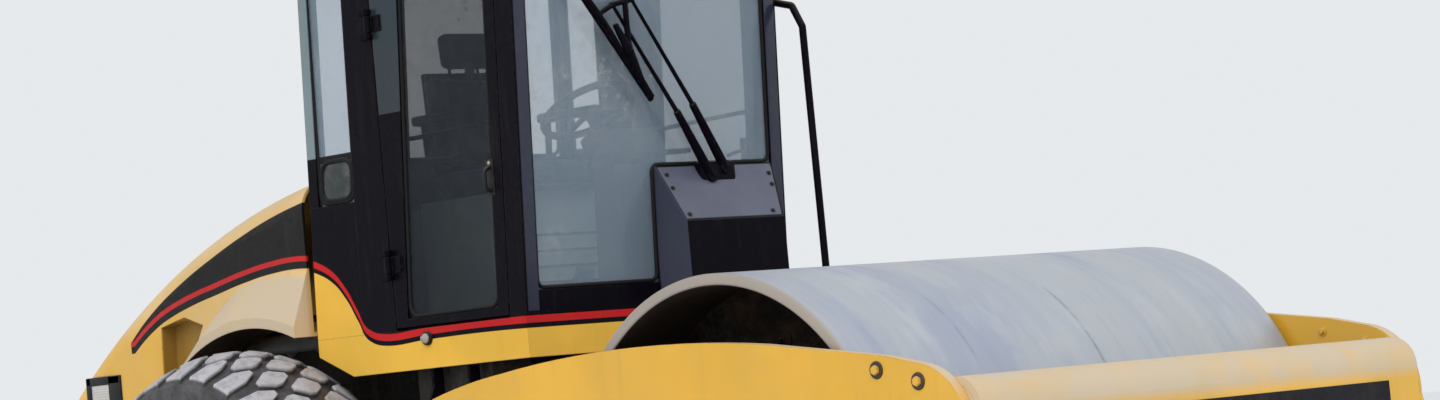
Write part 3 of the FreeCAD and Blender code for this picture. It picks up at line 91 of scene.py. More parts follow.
class Nodes:
    """Adds nodes to one tree. A value may be a plain number, a colour or another socket."""

    def __init__(self, tree):
        self.tree = tree

    def add(self, kind, **settings):
        node = self.tree.nodes.new("ShaderNode" + kind)
        for key, value in settings.items():
            setattr(node, key, value)
        return node

    def plug(self, socket, value):
        if isinstance(value, bpy.types.NodeSocket):
            self.tree.links.new(value, socket)
        elif socket.type == "RGBA":
            socket.default_value = (*value, 1.0)
        else:
            socket.default_value = value

    def math(self, operation, a, b=0.0, clamp=False):
        node = self.add("Math", operation=operation, use_clamp=clamp)
        self.plug(node.inputs[0], a)
        self.plug(node.inputs[1], b)
        return node.outputs[0]

    def times(self, a, b, clamp=False):
        return self.math("MULTIPLY", a, b, clamp)

    def plus(self, a, b, clamp=False):
        return self.math("ADD", a, b, clamp)

    def less(self, a, b):
        return self.math("SUBTRACT", a, b)

    def both(self, *masks):
        """The part that all the masks share."""
        result = masks[0]
        for mask in masks[1:]:
            result = self.math("MULTIPLY", result, mask)
        return result

    def either(self, a, b):
        return self.math("MAXIMUM", a, b)

    def inverse(self, mask):
        return self.less(1.0, mask)

    def fade(self, value, low, high, to_low=0.0, to_high=1.0):
        """Runs smoothly from one output to the other as the value goes from low to high."""
        node = self.add("MapRange", interpolation_type="SMOOTHSTEP")
        self.plug(node.inputs["Value"], value)
        self.plug(node.inputs["From Min"], low)
        self.plug(node.inputs["From Max"], high)
        self.plug(node.inputs["To Min"], to_low)
        self.plug(node.inputs["To Max"], to_high)
        return node.outputs[0]

    def mix(self, factor, a, b, blend="MIX"):
        node = self.add("Mix", data_type="RGBA", blend_type=blend)
        self.plug(node.inputs[0], factor)
        self.plug(node.inputs[6], a)
        self.plug(node.inputs[7], b)
        return node.outputs[2]

    def place(self):
        """The point's position in the frame, the same at every pose."""
        return self.add("TexCoord").outputs["Object"]

    def axes(self, vector):
        node = self.add("SeparateXYZ")
        self.plug(node.inputs[0], vector)
        return node.outputs

    def stretch(self, vector, factors):
        node = self.add("VectorMath", operation="MULTIPLY")
        self.plug(node.inputs[0], vector)
        node.inputs[1].default_value = factors
        return node.outputs[0]

    def noise(self, vector, scale, detail=4.0, roughness=0.55):
        node = self.add("TexNoise")
        self.plug(node.inputs["Vector"], vector)
        node.inputs["Scale"].default_value = scale
        node.inputs["Detail"].default_value = detail
        node.inputs["Roughness"].default_value = roughness
        return node.outputs["Fac"]

    def from_axle(self, x, z, axle):
        """How far a point lies from a cross axle, seen from the side."""
        run, rise = self.less(x, axle.x), self.less(z, axle.z)
        return self.math("SQRT", self.plus(self.times(run, run), self.times(rise, rise)))

    def cloud(self, vector, scale, low, high, detail=4.0, roughness=0.55, span=(0.0, 1.0)):
        """Noise, faded between two of its levels."""
        return self.fade(self.noise(vector, scale, detail, roughness), low, high, *span)

    def fade_linear(self, value, low, high):
        node = self.add("MapRange")
        self.plug(node.inputs["Value"], value)
        self.plug(node.inputs["From Min"], low)
        self.plug(node.inputs["From Max"], high)
        return node.outputs[0]

    def under(self, x, z, points, blur=0.0012):
        """One where z is below the line through the (x, z) points, with a crisp edge."""
        low, high = points[0][0], points[-1][0]
        base = min(height for _, height in points)
        rise = max(height for _, height in points) - base
        node = self.add("FloatCurve")
        line = node.mapping.curves[0]
        while len(line.points) < len(points):
            line.points.new(0.5, 0.5)
        for point, (place, height) in zip(line.points, points):
            point.location = ((place - low) / (high - low), (height - base) / rise)
            point.handle_type = "AUTO"
        node.mapping.update()
        self.plug(node.inputs["Value"], self.fade_linear(x, low, high))
        drop = self.less(z, base)
        gap = self.less(self.times(node.outputs[0], rise), drop)
        return self.fade(gap, -blur, blur)

    def bump(self, height, distance, normal=None):
        node = self.add("Bump")
        node.inputs["Distance"].default_value = distance
        self.plug(node.inputs["Height"], height)
        if normal is not None:
            self.plug(node.inputs["Normal"], normal)
        return node.outputs[0]


def make_group(name, inputs, outputs, build):
    """A shader node group. Inputs and outputs are (label, kind, value) and (label, kind)."""
    tree = bpy.data.node_groups.new(name, "ShaderNodeTree")
    for label, kind, value in inputs:
        socket = tree.interface.new_socket(label, in_out="INPUT", socket_type="NodeSocket" + kind)
        if value is not None:
            socket.default_value = value
    for label, kind in outputs:
        tree.interface.new_socket(label, in_out="OUTPUT", socket_type="NodeSocket" + kind)
    nodes = Nodes(tree)
    given = tree.nodes.new("NodeGroupInput").outputs
    result = tree.nodes.new("NodeGroupOutput").inputs
    for label, value in build(nodes, given).items():
        nodes.plug(result[label], value)
    return tree


def build_edge_wear(nodes, given):
    """Finds the outer edges of a shape, broken up as paint that chips there."""
    bevel = nodes.add("Bevel", samples=4)
    nodes.plug(bevel.inputs["Radius"], given["Width"])
    facing = nodes.add("VectorMath", operation="DOT_PRODUCT")
    nodes.plug(facing.inputs[0], bevel.outputs[0])
    nodes.plug(facing.inputs[1], nodes.add("NewGeometry").outputs["Normal"])
    turned = nodes.inverse(facing.outputs["Value"])
    edge = nodes.fade(turned, 0.02, 0.16)
    place = nodes.place()
    broken = nodes.cloud(place, 55.0, 0.42, 0.62, 6.0, 0.7)
    patches = nodes.cloud(place, 5.0, 0.35, 0.65, 3.0)
    amount = nodes.times(given["Amount"], nodes.both(edge, broken))
    return {"Mask": nodes.times(amount, nodes.fade(patches, 0.0, 1.0, 0.35, 1.0), True),
            "Normal": bevel.outputs[0]}


def build_dust(nodes, given):
    """Dust that lies on what faces up and is thrown up near the ground."""
    place = nodes.place()
    z = nodes.axes(place)[2]
    up = nodes.axes(nodes.add("NewGeometry").outputs["Normal"])[2]
    lying = nodes.fade(up, 0.25, 0.95)
    cloud = nodes.cloud(place, 2.6, 0.3, 0.72, 5.0, 0.6)
    speck = nodes.cloud(place, 38.0, 0.35, 0.7, 5.0, 0.65)
    ground = nodes.fade(z, given["Splash Height"], 0.1)
    wash = nodes.noise(nodes.stretch(place, (9.0, 9.0, 1.3)), 1.0, 5.0, 0.6)
    thrown = nodes.both(ground, nodes.fade(wash, 0.3, 0.75))
    top = nodes.both(lying, nodes.fade(cloud, 0.0, 1.0, 0.55, 1.0))
    thin = nodes.both(cloud, speck)
    mask = nodes.times(given["Lying"], top)
    mask = nodes.plus(mask, nodes.times(given["Thrown"], thrown))
    mask = nodes.plus(mask, nodes.times(given["Film"], thin), True)
    return {"Mask": mask}


def build_streaks(nodes, given):
    """Faint marks that rain leaves as it runs down."""
    place = nodes.place()
    long = nodes.stretch(place, (26.0, 26.0, 1.6))
    line = nodes.cloud(long, 1.0, 0.5, 0.78, 4.0, 0.6)
    patch = nodes.cloud(place, 3.0, 0.4, 0.65, 2.0)
    return {"Mask": nodes.times(given["Amount"], nodes.both(line, patch), True)}


def build_grain(nodes, given):
    """Fine relief: the orange peel of paint, or the skin of a casting or moulding."""
    place = nodes.place()
    node = nodes.add("TexNoise")
    nodes.plug(node.inputs["Vector"], place)
    nodes.plug(node.inputs["Scale"], given["Scale"])
    node.inputs["Detail"].default_value = 3.0
    wave = nodes.noise(place, 7.0, 2.0)
    height = nodes.plus(nodes.times(node.outputs["Fac"], given["Fine"]),
                        nodes.times(wave, given["Waves"]))
    return {"Height": height}


EDGE_WEAR = make_group("edge wear", [("Width", "Float", 0.006), ("Amount", "Float", 1.0)],
                       [("Mask", "Float"), ("Normal", "Vector")], build_edge_wear)
DUST_COAT = make_group("dust coat", [("Lying", "Float", 0.8), ("Thrown", "Float", 0.6),
                                     ("Film", "Float", 0.2), ("Splash Height", "Float", 1.1)],
                       [("Mask", "Float")], build_dust)
STREAKS = make_group("rain streaks", [("Amount", "Float", 0.5)], [("Mask", "Float")],
                     build_streaks)
GRAIN = make_group("surface grain", [("Scale", "Float", 300.0), ("Fine", "Float", 1.0),
                                     ("Waves", "Float", 1.0)], [("Height", "Float")], build_grain)


def use_group(nodes, tree, **values):
    """Places a node group. Words in a value's name are joined by underscores."""
    node = nodes.add("Group", node_tree=tree)
    for label, value in values.items():
        nodes.plug(node.inputs[label.replace("_", " ")], value)
    return node.outputs


def set_shader(nodes, shader, **values):
    """Sets or feeds the shader's inputs. Words in an input's name are joined by underscores."""
    for label, value in values.items():
        nodes.plug(shader.inputs[label.replace("_", " ")], value)


def new_material(name):
    """A material with only its shader and output, and a Nodes helper for the rest."""
    material = bpy.data.materials.new(name)
    material.use_nodes = True
    tree = material.node_tree
    tree.nodes.clear()
    nodes = Nodes(tree)
    shader = nodes.add("BsdfPrincipled")
    output = nodes.add("OutputMaterial")
    tree.links.new(shader.outputs[0], output.inputs[0])
    return material, nodes, shader


def finish_paint(nodes, shader, colour, dust, wear, roughness=0.34, bare=(0.10, 0.085, 0.07),
                 streaks=0.35, coat=0.25, grain=260.0, dust_colour=DUST, shine=0.5, patch=None):
    """Gives a shader a painted surface: fading, streaks, chipped edges and dust on top."""
    place = nodes.place()
    tone = nodes.cloud(place, 1.7, 0.3, 0.7, 3.0)
    faded = nodes.mix(tone, colour, nodes.mix(1.0, colour, (1.20, 1.16, 1.12), "MULTIPLY"))
    marks = use_group(nodes, STREAKS, Amount=streaks)["Mask"]
    marked = nodes.mix(nodes.times(marks, 0.35), faded, (0.10, 0.08, 0.06))
    worn = use_group(nodes, EDGE_WEAR, Width=0.005, Amount=wear)
    chipped = nodes.mix(worn["Mask"], marked, bare)
    lying, thrown, film = dust
    coat_mask = use_group(nodes, DUST_COAT, Lying=lying, Thrown=thrown, Film=film)["Mask"]
    if patch is not None:
        coat_mask = nodes.either(coat_mask, patch)
    smear = nodes.cloud(place, 9.0, 0.3, 0.75, 5.0, 0.6, span=(roughness - 0.06, roughness + 0.14))
    dull = nodes.plus(smear, nodes.times(coat_mask, 0.45))
    dull = nodes.plus(dull, nodes.times(worn["Mask"], 0.2), True)
    relief = use_group(nodes, GRAIN, Scale=grain, Fine=0.25, Waves=1.0)["Height"]
    step = nodes.less(relief, nodes.times(worn["Mask"], 0.6))
    set_shader(nodes, shader, Base_Color=nodes.mix(coat_mask, chipped, dust_colour),
               Roughness=dull, Coat_Weight=nodes.times(nodes.inverse(coat_mask), coat),
               Coat_Roughness=0.12, Specular_IOR_Level=shine,
               Normal=nodes.bump(step, 0.0006, worn["Normal"]))


def paint(name, colour, **values):
    material, nodes, shader = new_material(name)
    finish_paint(nodes, shader, colour, **values)
    return material


# Stripe lines on the hood and cab sides, as (x, z) points from the rear forwards.
WEDGE_TOP = ((-2.095, 1.563), (-1.931, 1.674), (-1.712, 1.779), (-1.501, 1.858),
             (-1.313, 1.920), (-1.130, 1.971), (-0.952, 2.008), (-0.842, 2.025))
HOOD_RED_TOP = ((-2.070, 1.570), (-1.915, 1.655), (-1.825, 1.688), (-1.650, 1.731),
                (-1.496, 1.758), (-1.312, 1.789), (-1.133, 1.809), (-0.990, 1.815),
                (-0.860, 1.806))
HOOD_RED_THICK = 0.020
HOOD_LINE_THICK = 0.028
CAB_RED_TOP = ((-0.878, 1.789), (-0.849, 1.781), (-0.768, 1.745), (-0.686, 1.672),
               (-0.623, 1.582), (-0.559, 1.502), (-0.472, 1.480), (-0.235, 1.485),
               (0.054, 1.488), (0.360, 1.484))
CAB_RED_THICK = 0.026
CAB_LINE_THICK = 0.018


def drop_line(points, amount):
    return tuple((x, z - amount) for x, z in points)


def hood_paint():
    """Yellow, with the black wedge and the red stripe under it on both sides."""
    material, nodes, shader = new_material("hood yellow")
    x, y, z = nodes.axes(nodes.place())
    across = nodes.math("ABSOLUTE", y)
    side = nodes.fade(across, 0.50, 0.502)
    near_tip = nodes.fade(x, -2.095, -2.090)
    wedge = nodes.under(x, z, WEDGE_TOP)
    red_top = nodes.under(x, z, HOOD_RED_TOP)
    red_low = nodes.under(x, z, drop_line(HOOD_RED_TOP, HOOD_RED_THICK))
    line_low = nodes.under(x, z, drop_line(HOOD_RED_TOP, HOOD_RED_THICK + HOOD_LINE_THICK))
    black = nodes.both(side, near_tip, wedge, nodes.inverse(line_low))
    red = nodes.both(side, near_tip, red_top, nodes.inverse(red_low))
    # Sand clings to the side, most of all above the wedge and over the wheel.
    above = nodes.both(side, nodes.inverse(wedge), nodes.fade(z, 1.55, 1.70))
    over = nodes.both(line_low, nodes.fade(x, -1.80, -1.60), nodes.fade(z, 1.40, 1.52))
    film = nodes.cloud(nodes.place(), 3.2, 0.3, 0.7, 5.0, span=(0.10, 0.30))
    sandy = nodes.plus(film, nodes.times(nodes.either(above, over), 0.38))
    colour = nodes.mix(sandy, YELLOW, (0.74, 0.56, 0.34))
    colour = nodes.mix(black, colour, (0.0075, 0.0068, 0.0078))
    colour = nodes.mix(red, colour, RED)
    # Painted shade in the recess behind the fender.
    recess_painted_shade = nodes.both(nodes.fade(x, -1.900, -1.893), nodes.fade(x, -1.58, -1.60), side,
                        nodes.fade(across, 0.657, 0.652), nodes.fade(z, 1.28, 1.30),
                        nodes.fade(z, 1.64, 1.62))
    # The recess is darkened towards dark brown as painted shade.
    colour = nodes.mix(nodes.times(recess_painted_shade, 0.72), colour, (0.17, 0.095, 0.018))
    # Painted shade under the wheel arch: the fender's inner well is darkened.
    reach = nodes.from_axle(x, z, REAR_AXLE)
    well_painted_shade = nodes.both(nodes.fade(reach, 0.8235, 0.8215), nodes.fade(across, 0.744, 0.741),
                      nodes.fade(across, 0.480, 0.490))
    colour = nodes.mix(well_painted_shade, colour, (0.030, 0.018, 0.011))
    flank = nodes.both(nodes.fade(across, 0.662, 0.675), nodes.inverse(well_painted_shade),
                       nodes.cloud(nodes.place(), 4.0, 0.25, 0.6, 5.0, span=(0.62, 0.88)))
    # Dust on forward-facing faces is paler: dust, with painted light that evens the fender's front
    # facet with its sunlit flank.
    ahead = nodes.axes(nodes.add("NewGeometry").outputs["Normal"])[0]
    dust_and_facet_light = nodes.mix(nodes.fade(ahead, 0.75, 0.95), PALE_DUST, (0.76, 0.63, 0.47))
    finish_paint(nodes, shader, colour, dust=(0.8, 0.25, 0.03), wear=0.7, coat=0.04,
                 dust_colour=dust_and_facet_light, shine=0.14, patch=flank)
    return material


def cab_side_paint():
    """Black above, a red stripe, and yellow below, swept up at the rear of the cab."""
    material, nodes, shader = new_material("cab two-tone")
    x, y, z = nodes.axes(nodes.place())
    red_top = nodes.under(x, z, CAB_RED_TOP)
    red_low = nodes.under(x, z, drop_line(CAB_RED_TOP, CAB_RED_THICK))
    line_low = nodes.under(x, z, drop_line(CAB_RED_TOP, CAB_RED_THICK + CAB_LINE_THICK))
    outside = nodes.either(nodes.fade(nodes.math("ABSOLUTE", y), 0.640, 0.642),
                           nodes.fade(x, 0.335, 0.337))
    colour = nodes.mix(red_top, CAB_BLACK, RED)
    colour = nodes.mix(red_low, colour, CAB_BLACK)
    colour = nodes.mix(line_low, colour, (0.84, 0.50, 0.075))
    colour = nodes.mix(outside, CAB_BLACK, colour)
    # The side glass is bonded over the rear corner posts, which are painted pale blue-grey as a
    # painted reflection in that glass.
    post_painted_reflection = nodes.both(nodes.fade(x, -0.757, -0.759), nodes.fade(z, 2.168, 2.172),
                      nodes.fade(nodes.math("ABSOLUTE", y), 0.655, 0.658))
    colour = nodes.mix(post_painted_reflection, colour, (0.20, 0.26, 0.28))
    finish_paint(nodes, shader, colour, dust=(0.3, 0.08, 0.008), wear=0.5, roughness=0.28,
                 coat=0.0, shine=0.05)
    return material


def beam_paint():
    """Frame yellow, pale over its rounded top with dust and a painted highlight where the sky
    lights it.
    """
    material, nodes, shader = new_material("beam yellow")
    x, _, z = nodes.axes(nodes.place())
    # Pale patch over the beam's top: dust, and partly a painted sky highlight.
    patch = nodes.both(nodes.fade(z, 0.975, 1.035), nodes.fade(x, 2.60, 2.70),
                       nodes.cloud(nodes.place(), 5.0, 0.2, 0.6, 5.0, span=(0.55, 0.92)))
    finish_paint(nodes, shader, YELLOW, dust=(1.0, 0.40, 0.08), wear=0.9, dust_colour=PALE_DUST,
                 patch=patch)
    return material


def console_paint():
    """Cab black, with the lid's grey and its painted sky sheen on the side that faces the
    windscreen's low part.
    """
    material, nodes, shader = new_material("console black")
    x, y, _ = nodes.axes(nodes.place())
    # Blue-grey side: the lid's grey with its painted sheen.
    side = nodes.both(nodes.fade(y, 0.004, 0.002), nodes.fade(x, 0.34, 0.35))
    colour = nodes.mix(side, CAB_BLACK, (0.055, 0.062, 0.095))
    finish_paint(nodes, shader, colour, dust=(0.12, 0.03, 0.006), wear=0.2, roughness=0.3,
                 coat=0.0, shine=0.03)
    return material


def drum_steel():
    """Rolled steel, worn bright, with bands round the drum and scuffs along it; the bands and
    broad blotches are tinted blue as a painted sky reflection.
    """
    material, nodes, shader = new_material("drum steel")
    place = nodes.place()
    x, y, z = nodes.axes(place)
    bands = nodes.noise(nodes.stretch(place, (0.8, 9.0, 0.8)), 1.0, 5.0, 0.6)
    band = nodes.fade(bands, 0.38, 0.68)
    scuffs = nodes.cloud(nodes.stretch(place, (2.2, 30.0, 2.2)), 1.0, 0.52, 0.8, 6.0, 0.7)
    clouds = nodes.cloud(place, 3.0, 0.3, 0.75, 5.0, 0.6)
    # Worn bands round the drum, tinted blue by a painted sky reflection.
    colour = nodes.mix(nodes.times(band, 0.6), STEEL, (0.40, 0.44, 0.53))
    colour = nodes.mix(nodes.times(scuffs, 0.25), colour, (0.24, 0.26, 0.30))
    colour = nodes.mix(nodes.times(clouds, 0.12), colour, SAND)
    # Broad blue blotches: painted sky reflection.
    broad = nodes.cloud(nodes.stretch(place, (0.6, 2.4, 0.6)), 1.0, 0.46, 0.62, 4.0, 0.6)
    colour = nodes.mix(nodes.times(broad, 0.75), colour, (0.34, 0.37, 0.48))
    pale = nodes.cloud(nodes.stretch(place, (1.5, 4.0, 1.5)), 1.0, 0.52, 0.72, 5.0, 0.65)
    colour = nodes.mix(nodes.times(pale, 0.5), colour, (0.58, 0.59, 0.60))
    waver = nodes.times(nodes.less(nodes.noise(place, 2.0), 0.5), 0.02)
    for seam, strength in ((0.09, 0.55), (-0.50, 0.3)):
        gap = nodes.math("ABSOLUTE", nodes.less(nodes.plus(y, waver), seam))
        line = nodes.both(nodes.fade(gap, 0.010, 0.002), nodes.fade(clouds, 0.3, 0.7))
        colour = nodes.mix(nodes.times(line, strength), colour, (0.13, 0.14, 0.17))
    within = nodes.fade(nodes.from_axle(x, z, DRUM_AXLE), 0.7300, 0.7285)
    rust = nodes.mix(clouds, (0.020, 0.013, 0.010), (0.060, 0.034, 0.020))
    colour = nodes.mix(within, colour, rust)
    end = nodes.both(nodes.fade(nodes.math("ABSOLUTE", y), 1.050, 1.062), nodes.inverse(within))
    colour = nodes.mix(nodes.times(end, 0.75), colour, (0.42, 0.34, 0.25))
    metal = nodes.both(nodes.fade(clouds, 0.0, 1.0, 0.30, 0.15), nodes.inverse(within))
    rough = nodes.plus(nodes.fade(band, 0.0, 1.0, 0.44, 0.54),
                       nodes.times(nodes.either(scuffs, within), 0.25))
    relief = nodes.plus(nodes.times(scuffs, 0.4), nodes.noise(place, 60.0, 4.0))
    set_shader(nodes, shader, Base_Color=colour, Metallic=metal, Roughness=rough,
               Normal=nodes.bump(relief, 0.0006))
    return material


def drum_inside():
    """Old dark primer, rusty and caked with dust low down."""
    material, nodes, shader = new_material("drum inside")
    place = nodes.place()
    rust = nodes.cloud(place, 11.0, 0.42, 0.7, 6.0, 0.65)
    colour = nodes.mix(rust, (0.014, 0.011, 0.010), (0.055, 0.030, 0.018))
    coat = use_group(nodes, DUST_COAT, Lying=0.5, Thrown=0.45, Film=0.10)["Mask"]
    relief = use_group(nodes, GRAIN, Scale=90.0, Fine=1.0, Waves=0.5)["Height"]
    set_shader(nodes, shader, Base_Color=nodes.mix(coat, colour, SAND), Roughness=0.85,
               Specular_IOR_Level=0.2, Normal=nodes.bump(relief, 0.002))
    return material


def tyre_rubber():
    """Black rubber under dust, which is palest on the tread blocks."""
    material, nodes, shader = new_material("tyre rubber")
    place = nodes.place()
    x, y, z = nodes.axes(place)
    radius = nodes.from_axle(x, z, REAR_AXLE)
    off = nodes.less(nodes.math("ABSOLUTE", y), TYRE_MIDDLE)
    fall = nodes.times(nodes.times(off, off), 1.15)
    crown = nodes.fade(nodes.plus(radius, fall), 0.722, 0.735)
    dusty = nodes.cloud(place, 24.0, 0.2, 0.6, 5.0, 0.65, span=(0.55, 1.0))
    broad = nodes.cloud(place, 4.0, 0.3, 0.7, 4.0, span=(0.85, 1.0))
    film = nodes.cloud(place, 14.0, 0.30, 0.75, 6.0, 0.7, span=(0.03, 0.16))
    mask = nodes.either(nodes.both(crown, dusty, broad), film)
    relief = use_group(nodes, GRAIN, Scale=160.0, Fine=1.0, Waves=0.4)["Height"]
    set_shader(nodes, shader, Base_Color=nodes.mix(mask, RUBBER, (0.60, 0.58, 0.61)),
               Roughness=nodes.fade(mask, 0.0, 1.0, 0.62, 0.93),
               Normal=nodes.bump(relief, 0.0012))
    return material


def chrome_rod():
    material, nodes, shader = new_material("polished rod")
    place = nodes.place()
    stain = nodes.cloud(place, 12.0, 0.5, 0.8)
    set_shader(nodes, shader, Base_Color=nodes.mix(stain, (0.78, 0.78, 0.80), (0.42, 0.36, 0.30)),
               Metallic=1.0, Roughness=nodes.cloud(place, 40.0, 0.3, 0.8, span=(0.08, 0.3)))
    return material


def cab_glass(name, tint_and_light, cover, shine, dusty):
    """Glass under a veil of colour, partly its tint and partly painted light, with a little dust
    and a sheen at low angles.
    """
    material, nodes, shader = new_material(name)
    place = nodes.place()
    film = nodes.both(nodes.cloud(place, 2.4, 0.35, 0.75, 5.0, 0.6),
                      nodes.cloud(place, 30.0, 0.3, 0.7, 4.0))
    haze = nodes.times(film, dusty)
    x, y, z = nodes.axes(place)
    # The lower piece of each quarter pane is darkened.
    dark = nodes.both(nodes.fade(x, -0.560, -0.570), nodes.fade(z, 2.152, 2.150),
                      nodes.fade(nodes.math("ABSOLUTE", y), 0.63, 0.64))
    colour = nodes.mix(dark, tint_and_light, (0.020, 0.030, 0.030))
    clear = nodes.fade(haze, 0.0, 1.0, cover, cover + 0.25)
    set_shader(nodes, shader, Base_Color=nodes.mix(haze, colour, (0.60, 0.58, 0.54)),
               Roughness=nodes.fade(film, 0.0, 1.0, 0.03, 0.25),
               Alpha=nodes.either(clear, nodes.times(dark, 0.84)), IOR=1.5,
               Specular_IOR_Level=shine)
    return material


def moulded(name, colour, roughness=0.55, scale=420.0, dust=(0.2, 0.12, 0.04)):
    """Grained plastic or rubber trim with a film of dust."""
    material, nodes, shader = new_material(name)
    lying, thrown, film = dust
    coat = use_group(nodes, DUST_COAT, Lying=lying, Thrown=thrown, Film=film)["Mask"]
    relief = use_group(nodes, GRAIN, Scale=scale, Fine=1.0, Waves=0.3)["Height"]
    set_shader(nodes, shader, Base_Color=nodes.mix(coat, colour, DUST),
               Roughness=nodes.fade(coat, 0.0, 1.0, roughness, 0.9), Specular_IOR_Level=0.25,
               Normal=nodes.bump(relief, 0.0005))
    return material


def seat_cloth():
    """Woven cover: crossing threads in relief and a mottled dark colour."""
    material, nodes, shader = new_material("seat cloth")
    place = nodes.place()
    warp = nodes.add("TexWave", bands_direction="Y")
    weft = nodes.add("TexWave", bands_direction="DIAGONAL")
    for wave in (warp, weft):
        nodes.plug(wave.inputs["Vector"], place)
        wave.inputs["Scale"].default_value = 110.0
        wave.inputs["Distortion"].default_value = 0.6
    weave = nodes.times(warp.outputs["Fac"], weft.outputs["Fac"])
    mottle = nodes.cloud(place, 18.0, 0.3, 0.7, 4.0)
    colour = nodes.mix(mottle, (0.022, 0.023, 0.027), (0.055, 0.055, 0.06))
    colour = nodes.mix(nodes.times(weave, 0.12), colour, (0.12, 0.12, 0.125))
    set_shader(nodes, shader, Base_Color=colour, Roughness=0.9, Sheen_Weight=0.3,
               Normal=nodes.bump(weave, 0.0004))
    return material


def lamp_lens(name, colour):
    """Ribbed clear lens over a bright reflector."""
    material, nodes, shader = new_material(name)
    place = nodes.place()
    ribs = nodes.add("TexWave", bands_direction="Z")
    nodes.plug(ribs.inputs["Vector"], place)
    ribs.inputs["Scale"].default_value = 30.0
    film = nodes.cloud(place, 20.0, 0.35, 0.75, 4.0)
    set_shader(nodes, shader, Base_Color=nodes.mix(nodes.times(film, 0.4), colour, DUST),
               Roughness=nodes.fade(film, 0.0, 1.0, 0.08, 0.4), Coat_Weight=0.6,
               Normal=nodes.bump(ribs.outputs["Fac"], 0.0015))
    return material


yellow = paint("frame yellow", YELLOW, dust=(1.0, 0.40, 0.08), wear=0.9,
               dust_colour=PALE_DUST)
black = paint("cab black", CAB_BLACK, dust=(0.14, 0.03, 0.006), wear=0.25, roughness=0.24,
              bare=(0.12, 0.12, 0.13), coat=0.0, shine=0.03)
cast = paint("frame black", FRAME_BLACK, dust=(0.6, 0.50, 0.12), wear=0.6, roughness=0.5, coat=0.0,
             grain=120.0, shine=0.25)
MATERIALS = {
    "yellow_paint": yellow,
    "dark_casting": cast,
    "black_paint": black,
    "drum_steel": drum_steel(),
    "drum_inside": drum_inside(),
    "bright_rod": chrome_rod(),
    # Windscreen: a pale blue veil, the glass's tint with a painted sky reflection.
    "tinted_glass": cab_glass("windscreen glass", (0.42, 0.54, 0.66), 0.28, 0.5, 0.6),
    "tread_rubber": tyre_rubber(),
    "rim_paint": paint("rim yellow", YELLOW, dust=(0.5, 0.9, 0.35), wear=0.8, roughness=0.4),
    "seat_cloth": seat_cloth(),
    "cab_plastic": moulded("cab plastic", (0.035, 0.038, 0.038)),
    "lamp_lens": lamp_lens("lamp lens", (0.62, 0.60, 0.58)),
}
SPECIAL = {"hood_shell": hood_paint(), "cab_base": cab_side_paint()}
for node in ("cab_rear_wall", "cab_pillars", "door_frame_left", "door_frame_right"):
    SPECIAL[node] = SPECIAL["cab_base"]
SPECIAL["front_beam"] = beam_paint()
SPECIAL["console_box"] = console_paint()
# Door glass: a dark, half-opaque veil that is painted shade for the shaded ground seen through it.
SPECIAL["door_glass_left"] = cab_glass("door glass painted shade", (0.016, 0.022, 0.030), 0.50, 0.2, 0.06)
SPECIAL["door_glass_right"] = SPECIAL["door_glass_left"]
# The pedestal is painted far paler than its grey-green: painted light that offsets the dark door
# glass in front of it.
SPECIAL["seat_pedestal"] = moulded("pedestal grey painted lighter", (0.46, 0.58, 0.58), 0.6, 300.0)

bolt_steel = paint("zinc steel", (0.40, 0.37, 0.32), dust=(0.3, 0.3, 0.25), wear=0.2,
                   roughness=0.42, coat=0.0, streaks=0.5, grain=200.0)
# Dark rings round the bolts on the side plates.
dark_washer_ring = paint("dark washer ring", (0.045, 0.028, 0.018), dust=(0.2, 0.2, 0.1), wear=0.1,
                     roughness=0.6, coat=0.0)
panel_black = paint("panel black", (0.008, 0.008, 0.012), dust=(0.3, 0.06, 0.04), wear=0.3,
                    roughness=0.45, coat=0.0, shine=0.08)
# The console lid: dark grey, tinted lilac by a painted sky sheen on its upward slope.
lid_grey_and_sheen = paint("lid grey and painted sheen", (0.085, 0.095, 0.145), dust=(0.08, 0.03, 0.03), wear=0.2,
                 roughness=0.36, coat=0.0, shine=0.3)
engine_grey = paint("engine grey", (0.15, 0.155, 0.16), dust=(0.6, 0.3, 0.3), wear=0.4,
                    roughness=0.5, coat=0.0, grain=120.0)
# Strip on the windscreen's edge: black, tinted blue as a painted sky reflection.
border_painted_reflection = paint("windscreen border painted reflection", (0.020, 0.024, 0.046), dust=(0.05, 0.02, 0.02), wear=0.0,
                    roughness=0.15, coat=0.0, shine=0.3)
glass_edge = paint("glass over black", (0.022, 0.036, 0.046), dust=(0.05, 0.02, 0.02), wear=0.0,
                   roughness=0.12, coat=0.0, shine=0.25, streaks=0.6)
rubber_black = moulded("black rubber", (0.006, 0.006, 0.007), 0.7, 260.0, (0.06, 0.05, 0.008))
moulded_black = moulded("black moulding", (0.010, 0.010, 0.012), 0.5, 380.0)
lining_grey = moulded("grey lining", (0.24, 0.245, 0.25), 0.8, 160.0)


def dress_cad_nodes():
    """Gives every carried-over node its finish, and smooth shading with crisp corners."""
    slots = {entry["node"]: entry["material_slot"] for entry in frame["record"]["subparts"]}
    for name, node in frame["nodes"].items():
        node.data.materials.clear()
        node.data.materials.append(SPECIAL.get(name, MATERIALS[slots[name]]))
        node.data.shade_smooth()
        node.data.set_sharp_from_angle(angle=math.radians(28))


